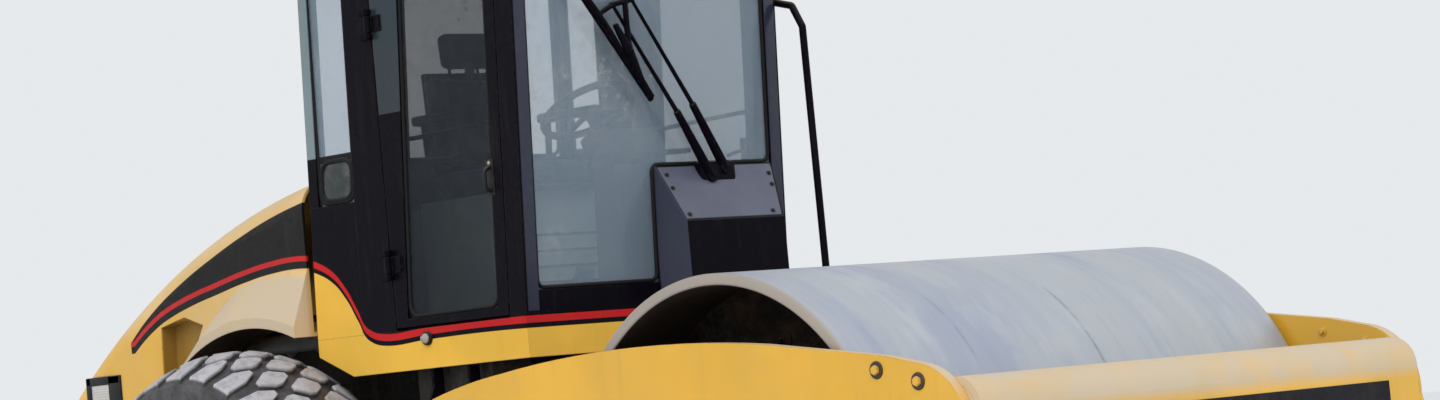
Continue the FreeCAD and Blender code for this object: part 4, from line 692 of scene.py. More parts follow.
class Form:
    """Collects simple solids into one mesh."""

    def __init__(self):
        self.bm = bmesh.new()

    def box(self, low, high, bevel=0.0, turn=None):
        """A block between two corners, its edges rounded. It may be turned about its middle."""
        low, high = Vector(low), Vector(high)
        middle = (low + high) / 2
        size = Matrix.Diagonal((*(high - low), 1.0))
        spin = turn.to_matrix().to_4x4() if turn else Matrix.Identity(4)
        made = bmesh.ops.create_cube(self.bm, size=1.0,
                                     matrix=Matrix.Translation(middle) @ spin @ size)
        if bevel:
            edges = {edge for vert in made["verts"] for edge in vert.link_edges}
            bmesh.ops.bevel(self.bm, geom=list(edges), offset=bevel, segments=2, affect="EDGES",
                            profile=0.5)

    def rod(self, start, end, radius, end_radius=None, sides=20):
        start, end = Vector(start), Vector(end)
        along = end - start
        spin = along.to_track_quat("Z", "Y").to_matrix().to_4x4()
        middle = Matrix.Translation((start + end) / 2)
        bmesh.ops.create_cone(self.bm, cap_ends=True, segments=sides, radius1=radius,
                              radius2=radius if end_radius is None else end_radius,
                              depth=along.length, matrix=middle @ spin)

    def disc(self, place, start, end, radius, end_radius=None, sides=20):
        """A flat round or many-sided piece that faces sideways, between two distances."""
        place = Vector(place)
        self.rod(place + Vector((0, start, 0)), place + Vector((0, end, 0)), radius, end_radius,
                 sides)

    def lathe(self, rows, place, axis="Y", sides=48, closed=True):
        """Turns (along, radius) rows about an axis through the place."""
        place = Vector(place)
        rings = []
        for along, radius in rows:
            ring = []
            for i in range(sides):
                turn = 2 * math.pi * i / sides
                a, b = radius * math.cos(turn), radius * math.sin(turn)
                offset = {"X": (along, a, b), "Y": (b, along, a), "Z": (a, b, along)}[axis]
                ring.append(self.bm.verts.new(place + Vector(offset)))
            rings.append(ring)
        pairs = list(zip(rings, rings[1:])) + ([(rings[-1], rings[0])] if closed else [])
        for ring, after in pairs:
            for i in range(sides):
                j = (i + 1) % sides
                self.bm.faces.new((ring[i], ring[j], after[j], after[i]))

    def sweep(self, points, radius, sides=10, closed=False):
        """A round bar along a line of points."""
        points = [Vector(point) for point in points]
        count = len(points)
        side = None
        rings = []
        for i, point in enumerate(points):
            if closed:
                along = (points[(i + 1) % count] - points[i - 1]).normalized()
            else:
                along = (points[min(i + 1, count - 1)] - points[max(i - 1, 0)]).normalized()
            if side is None:
                side = along.orthogonal().normalized()
            side = (side - along * side.dot(along)).normalized()
            up = along.cross(side)
            rings.append([self.bm.verts.new(point + radius * (
                side * math.cos(2 * math.pi * k / sides) + up * math.sin(2 * math.pi * k / sides)))
                for k in range(sides)])
        pairs = list(zip(rings, rings[1:]))
        if closed:
            twist = min(range(sides), key=lambda k: (rings[0][k].co - rings[-1][0].co).length)
            pairs.append((rings[-1], rings[0][twist:] + rings[0][:twist]))
        for ring, after in pairs:
            for k in range(sides):
                j = (k + 1) % sides
                self.bm.faces.new((ring[k], ring[j], after[j], after[k]))
        if not closed:
            self.bm.faces.new(rings[0][::-1])
            self.bm.faces.new(rings[-1])

    def bent(self, points, bend, radius, sides=10, steps=4):
        """A round bar along a line, whose corners are bent."""
        self.sweep(softened(points, bend, steps, closed=False), radius, sides)

    def ring(self, points, bend, radius, steps=4):
        """A round strip all along an outline, whose corners are bent."""
        self.sweep(softened(points, bend, steps), radius, 8, closed=True)

    def prism(self, outline, offset, scale=1.0):
        """Extrudes a flat outline, whose far end may be drawn smaller."""
        outline = [Vector(point) for point in outline]
        offset = Vector(offset)
        middle = sum(outline, Vector()) / len(outline)
        low = [self.bm.verts.new(point) for point in outline]
        high = [self.bm.verts.new(middle + (point - middle) * scale + offset) for point in outline]
        self.bm.faces.new(low[::-1])
        self.bm.faces.new(high)
        for i in range(len(low)):
            j = (i + 1) % len(low)
            self.bm.faces.new((low[i], low[j], high[j], high[i]))

    def bolt(self, place, way, size):
        """A hexagon head on a washer, standing along the way given."""
        place, way = Vector(place), Vector(way).normalized()
        self.rod(place - way * 0.001, place + way * 0.003, size * 0.95, sides=24)
        self.rod(place + way * 0.003, place + way * (0.003 + size * 0.55), size * 0.58,
                 size * 0.54, sides=6)

    def mirror(self):
        """Adds the same again on the machine's other side."""
        made = bmesh.ops.duplicate(self.bm, geom=self.bm.verts[:] + self.bm.edges[:]
                                   + self.bm.faces[:])["geom"]
        for vert in made:
            if isinstance(vert, bmesh.types.BMVert):
                vert.co.y = -vert.co.y
        bmesh.ops.reverse_faces(self.bm, faces=[f for f in made
                                                if isinstance(f, bmesh.types.BMFace)])

    def pair(self, *details):
        """Makes one object of the solids and their mirror image."""
        self.mirror()
        self.piece(*details)

    def piece(self, name, material, body, slot, angle=32.0, flip=False):
        """Makes the collected solids one object, which moves with a body."""
        if flip:
            for vert in self.bm.verts:
                vert.co.y = -vert.co.y
        bmesh.ops.recalc_face_normals(self.bm, faces=self.bm.faces)
        mesh = bpy.data.meshes.new(name)
        self.bm.to_mesh(mesh)
        self.bm.free()
        mesh.materials.append(material)
        mesh.shade_smooth()
        mesh.set_sharp_from_angle(angle=math.radians(angle))
        made = bpy.data.objects.new(name, mesh)
        bpy.context.scene.collection.objects.link(made)
        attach(made, body)
        return made


def softened(points, radius, steps=4, closed=True):
    """The same line with each corner turned along an arc, which starts so far before it."""
    points = [Vector(point) for point in points]
    count = len(points)
    result = []
    for i, corner in enumerate(points):
        if not closed and i in (0, count - 1):
            result.append(corner)
            continue
        before, after = points[i - 1], points[(i + 1) % count]
        start = corner + (before - corner).normalized() * min(radius, (before - corner).length / 2)
        end = corner + (after - corner).normalized() * min(radius, (after - corner).length / 2)
        pull = math.cos((corner - start).angle(end - corner, 0.0) / 2)
        for k in range(steps + 1):
            t = k / steps
            shares = (1 - t) ** 2, 2 * pull * t * (1 - t), t ** 2
            mean = start * shares[0] + corner * shares[1] + end * shares[2]
            result.append(mean / sum(shares))
    return result


def circle_points(count, radius, start=0.0):
    for i in range(count):
        turn = math.radians(start) + 2 * math.pi * i / count
        yield radius * math.cos(turn), radius * math.sin(turn)


def circle(axle, face, count, radius, start=0.0):
    """Points round an axle, on a face that lies so far out from the machine's middle."""
    for a, b in circle_points(count, radius, start):
        yield Vector((axle.x + a, face, axle.z + b))


def screen_x(z):
    """The windscreen's outer face at a height."""
    return 0.340 + 0.082 * (z - 1.485) / 1.415


def rear_x(z):
    return -0.878 + 0.060 * (z - 1.485) / 1.415


def build_drum():
    shell = Form()
    half, radius, bore = DRUM_HALF, DRUM_RADIUS, DRUM_RADIUS - DRUM_WALL
    rows = []
    for side in (-1, 1):
        rim = [(half - 0.010, radius), (half - 0.003, radius - 0.002), (half, radius - 0.007),
               (half, bore + 0.006), (half - 0.004, bore)]
        part = [(side * along, r) for along, r in rim]
        rows += part if side > 0 else part[::-1]
    shell.lathe(rows, DRUM_AXLE, sides=256)
    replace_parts(shell.piece("drum_rolled_shell", MATERIALS["drum_steel"], "drum", "drum_steel"),
                "drum_shell")

    inside = Form()
    for side in (-1, 1):
        bead = [(side * (HEAD_FACE + along), r) for along, r in
                ((-0.002, 0.728), (0.016, 0.728), (0.012, 0.716), (0.0, 0.708), (-0.002, 0.708))]
        inside.lathe(bead, DRUM_AXLE, sides=96)
        for place in circle(DRUM_AXLE, side * HEAD_FACE, 12, 0.335):
            inside.bolt(place, (0, side, 0), 0.022)
        for place in circle(DRUM_AXLE, side * (HEAD_FACE - 0.0005), 6, 0.53, 30.0):
            inside.disc(place, 0.0, side * 0.006, 0.045, sides=32)
            inside.bolt(place + Vector((0, side * 0.006, 0)), (0, side, 0), 0.018)
    inside.piece("drum_head_bolts_and_welds", MATERIALS["drum_inside"], "drum", "drum_inside")


def build_drum_frame():
    bolts = Form()
    rings = Form()
    heads = Form()
    for x, z in ((2.525, 1.167), (2.700, 1.121)):
        place = (x, PLATE_FACE, z)
        rings.disc(place, -0.001, 0.004, 0.029, 0.027, 32)
        heads.disc(place, 0.003, 0.014, 0.0165, 0.0155, 6)
        heads.bolt((x, 1.090, z), (0, -1, 0), 0.018)
    for place in circle(DRUM_AXLE, 1.090, 10, 0.160, 18.0):
        bolts.bolt(place, (0, 1, 0), 0.014)
    for place in circle(DRUM_AXLE, CAP_FACE, 6, 0.085):
        bolts.disc(place, -0.0005, 0.0025, 0.009, sides=6)
    bolts.pair("frame_bolts", bolt_steel, "drum_frame", "bright_rod")
    heads.pair("frame_bolt_heads", MATERIALS["yellow_paint"], "drum_frame", "yellow_paint")
    rings.pair("frame_bolt_washers", dark_washer_ring, "drum_frame", "bright_rod")

    panel = Form()
    panel.box((2.9145, -0.925, 0.700), (2.9168, 0.925, 0.980), 0.0006)
    panel.piece("front_beam_bare_panel", panel_black, "drum_frame", "black_paint")

    # Plates that close the bent front beam's ends.
    caps = Form()
    outline = [(2.792, 1.0895, 0.603)]
    for middle_z, start in ((0.677, -90.0), (1.025, 0.0)):
        for i in range(9):
            turn = math.radians(start + 90.0 * i / 8)
            outline.append((2.815 + 0.0755 * math.cos(turn), 1.0895,
                            middle_z + 0.0755 * math.sin(turn)))
    outline.append((2.792, 1.0895, 1.099))
    caps.prism(outline, (0.0, -0.012, 0.0))
    caps.pair("front_beam_end_plates", SPECIAL["front_beam"], "drum_frame", "yellow_paint")

    # Weld seams where the rear cross beam meets the side plates.
    welds = Form()
    back = ((0.656, 0.611), (0.854, 0.561), (0.854, 1.039), (0.706, 1.039), (0.656, 0.990))
    welds.sweep([(x, 1.0885, z) for x, z in back], 0.004, 8, closed=True)
    welds.pair("frame_weld_seams", MATERIALS["yellow_paint"], "drum_frame", "yellow_paint", 80.0)

    # Rubber faces of the scrapers, and the bolts behind them.
    wipe = Form()
    for x0, x1 in ((2.4755, 2.500), (0.930, 0.9545)):
        wipe.box((x0, -1.060, 0.893), (x1, 1.060, 0.923), 0.002)
    for i in range(12):
        for x in (2.56, 0.88):
            wipe.bolt((x, -0.99 + 0.18 * i, 0.917), (0, 0, 1), 0.013)
    wipe.piece("scraper_edges", rubber_black, "drum_frame", "tread_rubber")


def tyre_point(radius, along, across, centre_y):
    """A point of a tyre: so far round from its foot, so far across, at a radius."""
    turn = along / TYRE_RADIUS
    return Vector((REAR_AXLE.x + radius * math.sin(turn), centre_y + across,
                   REAR_AXLE.z - radius * math.cos(turn)))


def tread_radius(across):
    """The worn tread is rounder than a new one: it falls away towards both shoulders."""
    return 0.7395 - 0.046 * (across / 0.2) ** 2


def build_tyre(side):
    """A tyre with rows of diamond blocks: lathe for the body, one bevelled block at a time."""
    name = "left" if side > 0 else "right"
    form = Form()
    half = ((0.000, 0.7130), (0.060, 0.7095), (0.120, 0.6990), (0.180, 0.6790), (0.220, 0.660),
            (0.250, 0.643), (0.268, 0.630), (0.276, 0.625), (0.285, 0.622), (0.286, 0.590),
            (0.287, 0.540), (0.286, 0.500), (0.289, 0.496), (0.289, 0.486), (0.284, 0.480),
            (0.278, 0.450), (0.268, 0.420), (0.258, 0.400), (0.256, 0.392), (0.262, 0.388),
            (0.262, 0.376), (0.250, 0.366), (0.236, 0.352), (0.229, 0.346), (0.228, 0.331))
    rows = [(-y, r) for y, r in reversed(half[1:])] + list(half)
    form.lathe(rows, (REAR_AXLE.x, TYRE_MIDDLE, REAR_AXLE.z), sides=216)
    pitch = 2 * math.pi * TYRE_RADIUS / TREAD_COUNT
    start = TYRE_RADIUS * math.asin(0.062 / TYRE_RADIUS)
    corner = ((0.050, 0.013), (0.013, 0.062))
    middle = tuple((a * c, b * d) for c, d in ((1, 1), (-1, 1), (-1, -1), (1, -1))
                   for a, b in (corner if c * d > 0 else corner[::-1]))
    outer = 0.066
    shoulder = ((0.012, -0.064), (0.047, -0.012), (0.053, outer), (-0.053, outer),
                (-0.047, -0.012), (-0.012, -0.064))
    flipped = tuple((a, -b) for a, b in reversed(shoulder))
    table = ((0.0, middle), (0.100, middle), (-0.100, middle), (0.200, shoulder),
             (-0.200, flipped))
    for across, outline in table:
        shift = 0.5 if abs(across) == 0.100 else 0.0
        for i in range(TREAD_COUNT):
            along = -start + pitch * (i + shift)
            wear = 0.0008 + 0.0008 * math.sin(7.3 * i + 31.0 * across)
            levels = []
            for drop, grow in ((0.050, 1.10), (0.006, 1.0), (0.0015, 0.96), (wear, 0.89)):
                levels.append([form.bm.verts.new(tyre_point(
                    tread_radius(across + b * grow) - drop, along + a * grow,
                    across + b * grow, TYRE_MIDDLE)) for a, b in outline])
            for lower, upper in zip(levels, levels[1:]):
                for k in range(len(outline)):
                    j = (k + 1) % len(outline)
                    form.bm.faces.new((lower[k], lower[j], upper[j], upper[k]))
            inner = across + sum(b for _, b in outline) / len(outline)
            crown = form.bm.verts.new(tyre_point(tread_radius(inner) - wear, along, inner,
                                                 TYRE_MIDDLE))
            for k in range(len(outline)):
                form.bm.faces.new((levels[-1][k], levels[-1][(k + 1) % len(outline)], crown))
    tyre = form.piece("tyre_with_block_tread_" + name, MATERIALS["tread_rubber"], "wheel_" + name,
                      "tread_rubber", 40.0, flip=side < 0)
    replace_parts(tyre, "tyre_" + name)

    rim = Form()
    for place in circle(REAR_AXLE, DISC_FACE, 12, 0.205, 15.0):
        rim.disc(place, 0.0, 0.005, 0.023, sides=24)
        rim.disc(place, 0.005, 0.024, 0.017, 0.016, 6)
        rim.disc(place, 0.024, 0.036, 0.009, sides=12)
    for place in circle(REAR_AXLE, HUB_FACE, 8, 0.088):
        rim.bolt(place, (0, 1, 0), 0.011)
    rim.lathe(((0.0, 0.050), (0.010, 0.048), (0.014, 0.036), (0.014, 0.0005), (0.0, 0.0005)),
              (REAR_AXLE.x, HUB_FACE, REAR_AXLE.z), sides=36)
    rim.rod((REAR_AXLE.x + 0.255, DISC_FACE, REAR_AXLE.z),
            (REAR_AXLE.x + 0.275, DISC_FACE + 0.060, REAR_AXLE.z), 0.006, 0.0045, sides=12)
    rim.piece("wheel_nuts_and_valve_" + name, bolt_steel, "wheel_" + name, "bright_rod",
              flip=side < 0)


def build_hitch():
    """Caps and bolts on the hitch pin, and caps on the pins of the steering barrels."""
    caps = Form()
    for z, way in ((1.059, 1), (0.441, -1)):
        caps.rod((0.265, 0, z), (0.265, 0, z + way * 0.010), 0.058, 0.054, sides=36)
        for a, b in circle_points(6, 0.040):
            caps.bolt((0.265 + a, b, z + way * 0.009), (0, 0, way), 0.010)
    for side in (-1, 1):
        x, y = BARREL_PIN[0], side * BARREL_PIN[1]
        caps.rod((x, y, 0.800), (x, y, 0.812), 0.034, sides=24)
    caps.piece("hitch_pin_caps", bolt_steel, "tractor", "bright_rod")


def build_cylinder(side):
    """Ports with their elbows, and the collar at the end of a steering barrel."""
    name = "left" if side > 0 else "right"
    form = Form()

    def spot(along):
        return [pin + along * way for pin, way in zip(BARREL_PIN, BARREL_WAY)]

    for along in (0.110, 0.360):
        x, y = spot(along)
        form.rod((x, y, 0.755), (x, y, 0.778), 0.015, sides=6)
        form.bent([(x, y, 0.775), (x, y, 0.793), (x - 0.035, y, 0.793)], 0.012, 0.009)
        form.rod((x - 0.030, y, 0.793), (x - 0.048, y, 0.793), 0.012, sides=6)
    form.rod((*spot(0.396), BARREL_MIDDLE), (*spot(0.416), BARREL_MIDDLE), 0.046, sides=36)
    form.piece("cylinder_ports_" + name, bolt_steel, "barrel_" + name, "bright_rod",
               flip=side < 0)


def build_cab_seals():
    """Rubber round every pane."""
    seals = Form()

    def screen_point(y, z):
        return (screen_x(z) - 0.010, y, z)

    screen = [screen_point(-0.592, 1.583), screen_point(-0.592, 2.892), screen_point(0.592, 2.892),
              screen_point(0.592, 2.008), screen_point(-0.008, 2.008), screen_point(-0.008, 1.583)]
    seals.ring(screen, 0.03, 0.008)
    back = [(rear_x(z) + 0.010, y, z) for y, z in ((-0.602, 2.158), (-0.602, 2.892),
                                                   (0.602, 2.892), (0.602, 2.158))]
    seals.ring(back, 0.04, 0.008)
    for side in (-1, 1):
        pane = [(-0.593, 1.993), (-0.561, 2.892), (-0.776, 2.892), (-0.799, 1.993)]
        seals.ring([(x, side * PANE_MIDDLE, z) for x, z in pane], 0.045, 0.008, 5)
        # A dark bar over the lower part of the quarter pane.
        low, high = side * 0.6445, side * 0.6500
        seals.box((-0.797, min(low, high), 2.148), (-0.582, max(low, high), 2.174), 0.002)
        pane = [(-0.603, 2.002), (-0.597, 2.150), (-0.778, 2.150), (-0.789, 2.002)]
        seals.ring([(x, side * PANE_MIDDLE, z) for x, z in pane], 0.045, 0.010, 5)
        # Rubber strip between the door and its opening.
        strip = [(0.2435, 1.490), (0.3245, 2.886), (-0.399, 2.886), (-0.399, 1.490)]
        seals.ring([(x, side * 0.618, z) for x, z in strip], 0.03, 0.006)
    seals.piece("window_rubber", rubber_black, "tractor", "tread_rubber", 60.0)

    for side, name in ((1, "left"), (-1, "right")):
        # The pane runs on over the rear bar of the door.
        edge = Form()
        edge.prism([(-0.392, 0.6597, 2.290), (-0.392, 0.6597, 2.800), (-0.226, 0.6597, 2.800),
                    (-0.266, 0.6597, 2.290)], (0, 0.0018, 0))
        edge.piece("door_glass_edge_" + name, glass_edge, "door_" + name, "black_paint",
                   flip=side < 0)
        door = Form()
        pane = [(0.184, 1.532), (0.262, 2.813), (-0.220, 2.813), (-0.322, 1.532)]
        door.ring([(x, 0.649, z) for x, z in pane], 0.045, 0.008, 5)
        door.piece("door_glass_rubber_" + name, rubber_black, "door_" + name, "tread_rubber", 60.0,
                   flip=side < 0)
        # Grab bar across the pane, the outer handle with its lock, and the inner latch.
        grab = Form()
        grab.bent([(-0.300, 0.622, 2.190), (-0.300, 0.590, 2.190), (0.240, 0.590, 2.205),
                   (0.240, 0.622, 2.205)], 0.03, 0.009, 12, 5)
        grab.bent([(-0.300, 0.622, 2.105), (-0.300, 0.585, 2.105), (-0.063, 0.585, 2.093)],
                  0.03, 0.011, 12, 5)
        grab.box((0.200, 0.606, 1.985), (0.236, 0.621, 2.110), 0.003)
        grab.bent([(0.218, 0.606, 2.060), (0.218, 0.585, 2.060), (0.150, 0.585, 2.050)],
                  0.012, 0.007)
        grab.box((0.193, 0.6595, 1.930), (0.233, 0.6635, 2.060), 0.0015)
        grab.bent([(0.213, 0.660, 1.945), (0.213, 0.690, 1.955), (0.213, 0.690, 2.020),
                   (0.213, 0.660, 2.035)], 0.015, 0.0075, 12)
        grab.piece("door_handles_" + name, moulded_black, "door_" + name, "cab_plastic",
                   flip=side < 0)
        lock = Form()
        lock.rod((0.213, 0.6630, 2.048), (0.213, 0.6655, 2.048), 0.007, sides=20)
        lock.piece("door_lock_" + name, bolt_steel, "door_" + name, "bright_rod", flip=side < 0)


def build_cab_front():
    lid = Form()

    def lid_point(x, y, lift):
        z = 2.0 - (x - 0.3698) * 1.4807
        return Vector((x, y, z)) + LID_UP * lift

    outline = ((0.3735, 0.006), (0.3735, 0.583), (0.383, 0.580), (0.511, 0.490), (0.511, 0.006))
    low = [lid_point(x, y, -0.001) for x, y in outline]
    lid.prism(low, LID_UP * 0.004, 0.992)
    lid.piece("console_lid", lid_grey_and_sheen, "tractor", "black_paint")

    # Strips down the windscreen's sides, their blue a painted reflection on the black pillars.
    border = Form()
    outline = [(screen_x(1.500), 0.598, 1.500), (screen_x(1.500), 0.650, 1.500),
               (screen_x(2.896), 0.650, 2.896), (screen_x(2.896), 0.598, 2.896)]
    border.prism(outline, (0.003, 0.0, 0.0))
    border.pair("windscreen_border", border_painted_reflection, "tractor", "black_paint")

    trim = Form()
    for x, y in ((0.395, 0.030), (0.430, 0.022), (0.400, 0.548), (0.430, 0.530), (0.500, 0.030),
                 (0.500, 0.455)):
        trim.bolt(lid_point(x, y, 0.003), LID_UP, 0.010)
    trim.piece("console_lid_screws", moulded_black, "tractor", "cab_plastic")

    # Two-arm wiper: a motor cover on the lid, two tapering arms and a long blade.
    wiper = Form()
    wiper.box((0.372, 0.190, 1.905), (0.415, 0.370, 2.010), 0.014)
    for low, high in (((0.414, 0.239, 1.955), (0.436, -0.198, 2.592)),
                      ((0.414, 0.312, 1.985), (0.437, -0.103, 2.612))):
        low, high = Vector(low), Vector(high)
        knee = low.lerp(high, 0.38) + Vector((0.014, 0, 0))
        wiper.rod(low - Vector((0.022, 0, 0)), low + Vector((0.014, 0, 0)), 0.030, 0.024)
        wiper.rod(low, knee, 0.020, 0.014, 12)
        wiper.rod(knee, high, 0.009, 0.0065, 12)
        wiper.sweep([low.lerp(knee, 0.25) + Vector((0.020, 0, 0)), knee + Vector((0.012, 0, 0))],
                    0.005, 8)
    wiper.rod((0.437, -0.095, 2.614), (0.436, -0.206, 2.591), 0.011)
    wiper.rod((0.436, -0.198, 2.592), (0.434, -0.284, 2.550), 0.010)
    foot, tip = Vector((0.421, -0.034, 2.242)), Vector((0.447, -0.520, 2.842))
    along = (tip - foot).normalized()
    middle = (foot + tip) / 2
    wiper.rod(foot, tip, 0.011, sides=10)
    for reach in (0.26, 0.15):
        wiper.bent([middle - along * reach, middle + Vector((0.026, 0.004, 0)),
                    middle + along * reach], 0.12, 0.010, 8, 5)
    # The holder runs from the blade's foot up to the arms' link.
    wiper.bent([foot + Vector((0.012, -0.006, 0.010)), (0.446, -0.100, 2.318),
                (0.452, -0.150, 2.420), (0.450, -0.148, 2.600)], 0.06, 0.011)
    wiper.rod((0.446, -0.095, 2.310), (0.452, -0.152, 2.425), 0.012, 0.018, 12)
    wiper.rod((0.452, -0.152, 2.425), (0.448, -0.205, 2.520), 0.018, 0.010, 12)
    squeegee = Vector((-0.014, 0, 0))
    wiper.prism([foot + Vector((0, 0.004, 0)), foot - Vector((0, 0.004, 0)),
                 foot - Vector((0, 0.004, 0)) + squeegee, foot + Vector((0, 0.004, 0)) + squeegee],
                tip - foot)
    wiper.piece("windscreen_wiper", MATERIALS["black_paint"], "tractor", "black_paint", 40.0)

    # Round catch on the stripe, clamps of the hand rail, and lamps.
    catch = Form()
    catch.disc(CATCH, 0.0, 0.013, 0.027, 0.025, 36)
    catch.pair("floor_catch_collar", moulded_black, "tractor", "cab_plastic")
    knob = Form()
    knob.lathe(((0.0, 0.0005), (0.0, 0.019), (0.006, 0.018), (0.011, 0.012), (0.013, 0.0005)),
               CATCH + Vector((0, 0.012, 0)), sides=32)
    knob.box((-0.246, 0.671, 1.437), (-0.222, 0.679, 1.455), 0.003)
    knob.pair("floor_catch", bolt_steel, "tractor", "bright_rod")

    feet = Form()
    feet.box((0.333, 0.6595, 2.580), (0.386, 0.6655, 2.650), 0.002)
    feet.box((0.283, 0.6595, 1.385), (0.337, 0.6655, 1.455), 0.002)
    for x, z in ((0.3595, 2.592), (0.3595, 2.638), (0.310, 1.397), (0.310, 1.443)):
        feet.bolt((x, 0.6645, z), (0, 1, 0), 0.008)
    feet.piece("hand_rail_feet", MATERIALS["black_paint"], "tractor", "black_paint")

    lens = Form()
    bezel = Form()
    for face, way in ((screen_x(2.9) + 0.075, 1), (rear_x(2.9) - 0.075, -1)):
        for y in (-0.480, 0.480):
            lens.box((face - 0.001, y - 0.052, 2.833),
                     (face + way * 0.004 + 0.001, y + 0.052, 2.892), 0.0015)
            ring = [(face + way * 0.002, y + a, b) for a, b in
                    ((-0.056, 2.829), (0.056, 2.829), (0.056, 2.896), (-0.056, 2.896))]
            bezel.ring(ring, 0.012, 0.0045)
    lens.piece("work_lamp_lenses", MATERIALS["lamp_lens"], "tractor", "lamp_lens")
    bezel.piece("work_lamp_bezels", moulded_black, "tractor", "cab_plastic", 60.0)


def build_inside():
    """What the driver uses, seen through the glass."""
    trim = Form()
    trim.box((-0.350, -0.575, 1.4855), (0.262, 0.575, 1.4925), 0.003)
    for i in range(22):
        x = -0.330 + 0.027 * i
        trim.box((x, -0.560, 1.4915), (x + 0.010, 0.560, 1.4945))
    trim.piece("floor_mat", rubber_black, "tractor", "cab_plastic")

    soft = Form()
    soft.box((-0.755, -0.592, 2.880), (0.388, 0.592, 2.899), 0.006)
    soft.box((0.280, -0.560, 2.800), (0.318, -0.080, 2.878), 0.010)
    soft.box((-0.820, -0.590, 1.700), (-0.808, 0.590, 2.120), 0.004)
    soft.piece("head_lining", lining_grey, "tractor", "cab_plastic")

    dash = Form()
    tilt = Euler((0.0, math.radians(-28.0), 0.0))
    dash.box((0.150, -0.150, 2.035), (0.235, 0.150, 2.150), 0.012, tilt)
    dash.rod((0.150, 0, 1.99), (0.185, 0, 2.10), 0.045, 0.055)
    for y in (-0.210, 0.205):
        dash.box((0.130, y - 0.035, 1.560), (0.165, y + 0.035, 1.660), 0.006,
                 Euler((0.0, math.radians(35.0), 0.0)))
        dash.rod((0.165, y, 1.487), (0.148, y, 1.600), 0.008)
    for side in (-1, 1):
        dash.box((-0.600, side * 0.315 - 0.030, 2.262), (-0.270, side * 0.315 + 0.030, 2.300),
                 0.012)
        dash.rod((-0.560, side * 0.300, 2.080), (-0.560, side * 0.312, 2.270), 0.013)
        dash.rod((-0.470, side * 0.250, 1.930), (-0.560, side * 0.300, 2.090), 0.013)
    dash.box((-0.330, -0.352, 2.230), (-0.225, -0.272, 2.315), 0.010)
    dash.bent([(-0.275, -0.312, 2.312), (-0.270, -0.312, 2.370), (-0.262, -0.314, 2.415)],
              0.02, 0.008, 10, 3)
    dash.lathe(((0.0, 0.0005), (0.0, 0.012), (0.018, 0.019), (0.040, 0.018), (0.052, 0.010),
                (0.055, 0.0005)), (-0.262, -0.314, 2.412), "Z", 24)
    dash.rod((0.338, 0.040, 2.878), (0.330, 0.040, 2.800), 0.005)
    dash.box((0.312, -0.080, 2.735), (0.330, 0.160, 2.800), 0.008)
    for z in (1.62, 1.68, 1.74, 1.80):
        dash.box((-0.2385, -0.24, z), (-0.2355, 0.24, z + 0.010))
    dash.piece("cab_fittings", moulded_black, "tractor", "cab_plastic")

    dials = Form()
    way = Vector((-0.883, 0.0, 0.469))
    base = Vector((0.1545, 0.0, 2.1135))
    for y, z, radius in ((-0.095, 0.0, 0.028), (-0.030, 0.0, 0.028), (0.050, 0.0, 0.040)):
        place = base + Vector((0, y, 0))
        dials.rod(place - way * 0.001, place + way * 0.0035, radius, sides=36)
    for i in range(5):
        place = base + Vector((-0.02, -0.11 + 0.045 * i, -0.036))
        half = Vector((0.004, 0.011, 0.006))
        dials.box(place - half, place + half, 0.001)
    dials.piece("dials_and_switches", lining_grey, "tractor", "cab_plastic")


def soft_pad(pad, cap):
    """A stuffed pad: remeshed, puffed up by pressure, and held within a small travel."""
    scene = bpy.context.scene
    remesh = pad.modifiers.new("even mesh", "REMESH")
    remesh.mode = "VOXEL"
    remesh.voxel_size = 0.006
    remesh.use_smooth_shade = True
    graph = bpy.context.evaluated_depsgraph_get()
    mesh = bpy.data.meshes.new_from_object(pad.evaluated_get(graph))
    pad.modifiers.clear()
    pad.data = mesh
    rest = [vert.co.copy() for vert in mesh.vertices]
    cloth = pad.modifiers.new("puff", "CLOTH")
    cloth.settings.use_pressure = True
    cloth.settings.uniform_pressure_force = 4.0
    cloth.settings.effector_weights.gravity = 0.0
    cloth.settings.tension_stiffness = 30.0
    cloth.settings.quality = 4
    cloth.collision_settings.use_collision = False
    for number in range(1, 19):
        scene.frame_set(number)
    graph = bpy.context.evaluated_depsgraph_get()
    puffed = pad.evaluated_get(graph).data
    places = [vert.co.copy() for vert in puffed.vertices]
    pad.modifiers.clear()
    scene.frame_set(1)
    for vert, start, end in zip(mesh.vertices, rest, places):
        move = end - start
        if move.length > cap:
            move *= cap / move.length
        vert.co = start + move
    smooth = pad.modifiers.new("smooth", "SUBSURF")
    smooth.levels = smooth.render_levels = 1
    return pad


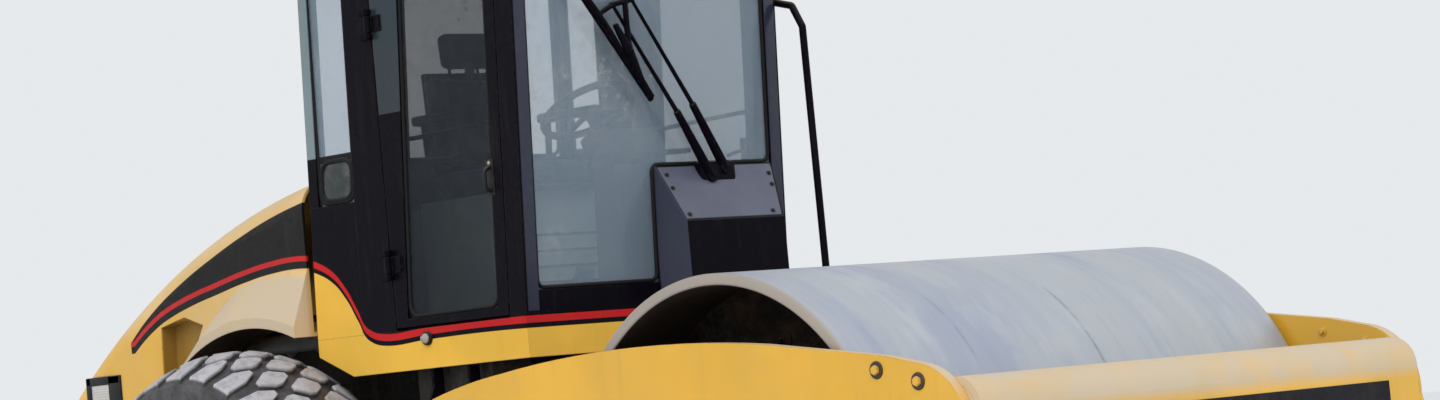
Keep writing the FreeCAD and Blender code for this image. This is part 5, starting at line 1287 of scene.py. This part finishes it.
def build_seat():
    """Cushion, back and head rest as stuffed pads, with a hard shell behind."""
    def shape(name, low, high, bevel, lean=0.0):
        form = Form()
        form.box(low, high, bevel)
        for vert in form.bm.verts:
            vert.co.x -= lean * (vert.co.z - low[2])
        mesh = bpy.data.meshes.new(name)
        form.bm.to_mesh(mesh)
        form.bm.free()
        made = bpy.data.objects.new(name, mesh)
        bpy.context.scene.collection.objects.link(made)
        return made

    # Columns: name, two corners, how round its edges are, how far it leans, how far it puffs.
    table = (("seat_cushion", (-0.610, -0.165, 1.985), (-0.160, 0.165, 2.072), 0.03, 0.0, 0.016),
             ("seat_bolster_left", (-0.610, 0.150, 1.985), (-0.185, 0.240, 2.078),
              0.03, 0.0, 0.008),
             ("seat_bolster_right", (-0.610, -0.240, 1.985), (-0.185, -0.150, 2.078),
              0.03, 0.0, 0.008),
             ("seat_back", (-0.618, -0.170, 2.100), (-0.552, 0.170, 2.455), 0.03, 0.13, 0.014),
             ("back_bolster_left", (-0.622, 0.150, 2.100), (-0.540, 0.228, 2.450),
              0.03, 0.13, 0.006),
             ("back_bolster_right", (-0.622, -0.228, 2.100), (-0.540, -0.150, 2.450),
              0.03, 0.13, 0.006),
             ("head_rest", (-0.670, -0.130, 2.485), (-0.606, 0.130, 2.625), 0.028, 0.06, 0.010))
    made = []
    for name, low, high, bevel, lean, cap in table:
        pad = soft_pad(shape(name, low, high, bevel, lean), cap)
        pad.data.materials.clear()
        pad.data.materials.append(MATERIALS["seat_cloth"])
        pad.data.shade_smooth()
        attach(pad, "tractor")
        made.append(pad)
    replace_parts(made[0], "seat")

    shell = Form()
    shell.box((-0.622, -0.240, 1.9705), (-0.165, 0.240, 1.994), 0.010)
    outline = [(-0.648, -0.215, 2.090), (-0.648, 0.215, 2.090), (-0.690, 0.200, 2.470),
               (-0.690, -0.200, 2.470)]
    shell.prism(outline, (0.024, 0, 0.003))
    for y in (-0.07, 0.07):
        shell.rod((-0.668, y, 2.440), (-0.674, y, 2.530), 0.006)
    shell.piece("seat_shell", moulded_black, "tractor", "cab_plastic")


def build_hood_parts():
    lamps = Form()
    lens = Form()
    x0, x1, z0, z1 = -2.4195, -2.2345, 1.290, 1.445
    end = -2.180
    lamps.box((x0, 0.655, z0), (x1 - 0.150, 0.6685, z1), 0.004)
    lamps.box((x1 - 0.030, 0.655, z0), (end, 0.6685, z1), 0.004)
    lamps.box((x0 + 0.005, 0.655, z1 - 0.034), (end - 0.005, 0.6685, z1), 0.004)
    lamps.box((x0 + 0.005, 0.655, z0), (end - 0.005, 0.6685, z0 + 0.016), 0.004)
    lamps.pair("tail_lamp_frames", moulded_black, "hood", "cab_plastic")
    lens.box((x1 - 0.152, 0.656, z0 + 0.014), (x1 - 0.028, 0.6655, z1 - 0.032), 0.004)
    lens.pair("tail_lamp_lenses", MATERIALS["lamp_lens"], "hood", "lamp_lens")

    # Hood catch and its handle at the tail.
    catch = Form()
    catch.box((-2.7185, -0.060, 1.116), (-2.705, 0.060, 1.146), 0.003)
    catch.bent([(-2.712, -0.045, 1.130), (-2.738, -0.045, 1.130), (-2.738, 0.045, 1.130),
                (-2.712, 0.045, 1.130)], 0.012, 0.006)
    catch.piece("hood_catch", moulded_black, "hood", "cab_plastic")


def build_tractor_parts():
    """Treads of the steps, tank fittings, and what shows round the engine."""
    grips = Form()
    for low in (0.450, 0.820):
        for i in range(6):
            for j in range(3):
                x, y = -0.205 + 0.032 * i, 0.665 + 0.050 * j
                grips.rod((x, y, low + 0.029), (x, y, low + 0.0335), 0.009, 0.006, sides=12)
    grips.pair("step_grips", MATERIALS["black_paint"], "tractor", "black_paint")

    tank = Form()
    tank.rod((-0.170, 0.589, 1.230), (-0.170, 0.612, 1.240), 0.040, sides=32)
    tank.rod((-0.170, 0.606, 1.238), (-0.170, 0.628, 1.246), 0.046, 0.042, sides=10)
    tank.box((-0.340, -0.596, 1.020), (-0.190, -0.589, 1.200), 0.004)
    for z in (1.060, 1.160):
        tank.rod((-0.300, -0.594, z), (-0.300, -0.600, z), 0.010)
    tank.piece("tank_cap_and_gauge", moulded_black, "tractor", "cab_plastic")

    engine = Form()
    for x in (-1.780, -1.640):
        engine.rod((x, 0.365, 1.200), (x, 0.365, 1.350), 0.048, sides=28)
        engine.rod((x, 0.365, 1.350), (x, 0.365, 1.372), 0.036, sides=28)
        engine.box((x - 0.045, 0.299, 1.365), (x + 0.045, 0.405, 1.395), 0.006)
    engine.sweep([(-1.950, -0.340, 1.500), (-1.250, -0.340, 1.500)], 0.038, 18)
    for i in range(4):
        x = -1.880 + 0.190 * i
        engine.rod((x, -0.299, 1.470), (x, -0.340, 1.500), 0.030)
    engine.box((-1.560, 0.299, 1.180), (-1.300, 0.385, 1.330), 0.010)
    for i in range(4):
        x = -1.530 + 0.066 * i
        engine.bent([(x, 0.345, 1.328), (x, 0.345, 1.460), (x, 0.302, 1.520)], 0.03, 0.005, 8)
    engine.rod((-1.960, -0.370, 1.260), (-1.800, -0.370, 1.260), 0.062, sides=28)
    for y, z, radius in ((0.0, 1.120, 0.110), (0.0, 1.420, 0.080), (-0.200, 1.300, 0.045)):
        engine.rod((-2.004, y, z), (-2.022, y, z), radius, sides=40)
    engine.box((-1.930, -0.170, 1.599), (-1.230, 0.170, 1.609), 0.004)
    engine.piece("engine_fittings", engine_grey, "tractor", "dark_casting")

    cab = Form()
    for x, y in ((0.120, 0.300), (0.120, -0.300)):
        cab.box((x - 0.07, y - 0.05, 1.286), (x + 0.07, y + 0.05, 1.336), 0.008)
    cab.piece("cab_mounts", rubber_black, "tractor", "dark_casting")


def build_stage():
    """A pale floor with soft light from above and both sides, and the photograph's camera."""
    bpy.ops.mesh.primitive_plane_add(size=120.0)
    floor = bpy.context.object
    floor.name = "floor"
    material, nodes, shader = new_material("pale floor")
    tone = nodes.noise(nodes.place(), 1.5, 3.0)
    set_shader(nodes, shader, Base_Color=nodes.mix(tone, (0.78, 0.78, 0.77), (0.82, 0.82, 0.81)),
               Roughness=0.9)
    floor.data.materials.append(material)

    world = bpy.data.worlds.new("studio")
    bpy.context.scene.world = world
    world.use_nodes = True
    nodes = Nodes(world.node_tree)
    world.node_tree.nodes.clear()
    rays = nodes.add("LightPath").outputs
    seen = nodes.either(rays["Is Camera Ray"], nodes.either(rays["Is Glossy Ray"],
                                                            rays["Is Transmission Ray"]))
    light = nodes.add("Background")
    light.inputs["Color"].default_value = (0.86, 0.93, 1.0, 1.0)
    light.inputs["Strength"].default_value = 0.60
    wall = nodes.add("Background")
    wall.inputs["Color"].default_value = (0.84, 0.86, 0.88, 1.0)
    wall.inputs["Strength"].default_value = 0.95
    mix = nodes.add("MixShader")
    nodes.plug(mix.inputs[0], seen)
    world.node_tree.links.new(light.outputs[0], mix.inputs[1])
    world.node_tree.links.new(wall.outputs[0], mix.inputs[2])
    world.node_tree.links.new(mix.outputs[0], nodes.add("OutputWorld").inputs[0])

    lamps = (("key sun", (5.0, -8.0, 8.0), 1.40, 0.9, (1.0, 0.975, 0.94)),
             ("fill sun", (7.0, 6.0, 6.0), 0.45, 1.2, (0.93, 0.97, 1.0)))
    for name, place, power, spread, colour in lamps:
        data = bpy.data.lights.new(name, "SUN")
        data.angle = spread
        data.energy = power
        data.color = colour
        lamp = bpy.data.objects.new(name, data)
        lamp.location = place
        lamp.rotation_euler = (-Vector(place)).to_track_quat("-Z", "Y").to_euler()
        bpy.context.scene.collection.objects.link(lamp)

    azimuth, pitch = math.radians(CAMERA_AZIMUTH), math.radians(CAMERA_PITCH)
    ahead = Vector((-math.sin(azimuth) * math.cos(pitch), math.cos(azimuth) * math.cos(pitch),
                    math.sin(pitch)))
    right = ahead.cross(Vector((0, 0, 1))).normalized()
    turn = Matrix((right, right.cross(ahead), -ahead)).transposed().to_4x4()
    turn = turn @ Matrix.Rotation(-math.radians(CAMERA_ROLL), 4, "Z")
    data = bpy.data.cameras.new("camera")
    data.lens = LENS_MM
    data.sensor_fit = "HORIZONTAL"
    data.clip_end = 300.0
    camera = bpy.data.objects.new("camera", data)
    camera.matrix_world = Matrix.Translation(CAMERA_PLACE) @ turn
    bpy.context.scene.collection.objects.link(camera)
    bpy.context.scene.camera = camera
    bpy.context.scene.view_settings.view_transform = "Standard"


build_stage()
dress_cad_nodes()
build_drum()
build_drum_frame()
build_hitch()
build_cab_seals()
build_cab_front()
build_inside()
build_seat()
build_hood_parts()
build_tractor_parts()
for side in (1, -1):
    build_tyre(side)
    build_cylinder(side)
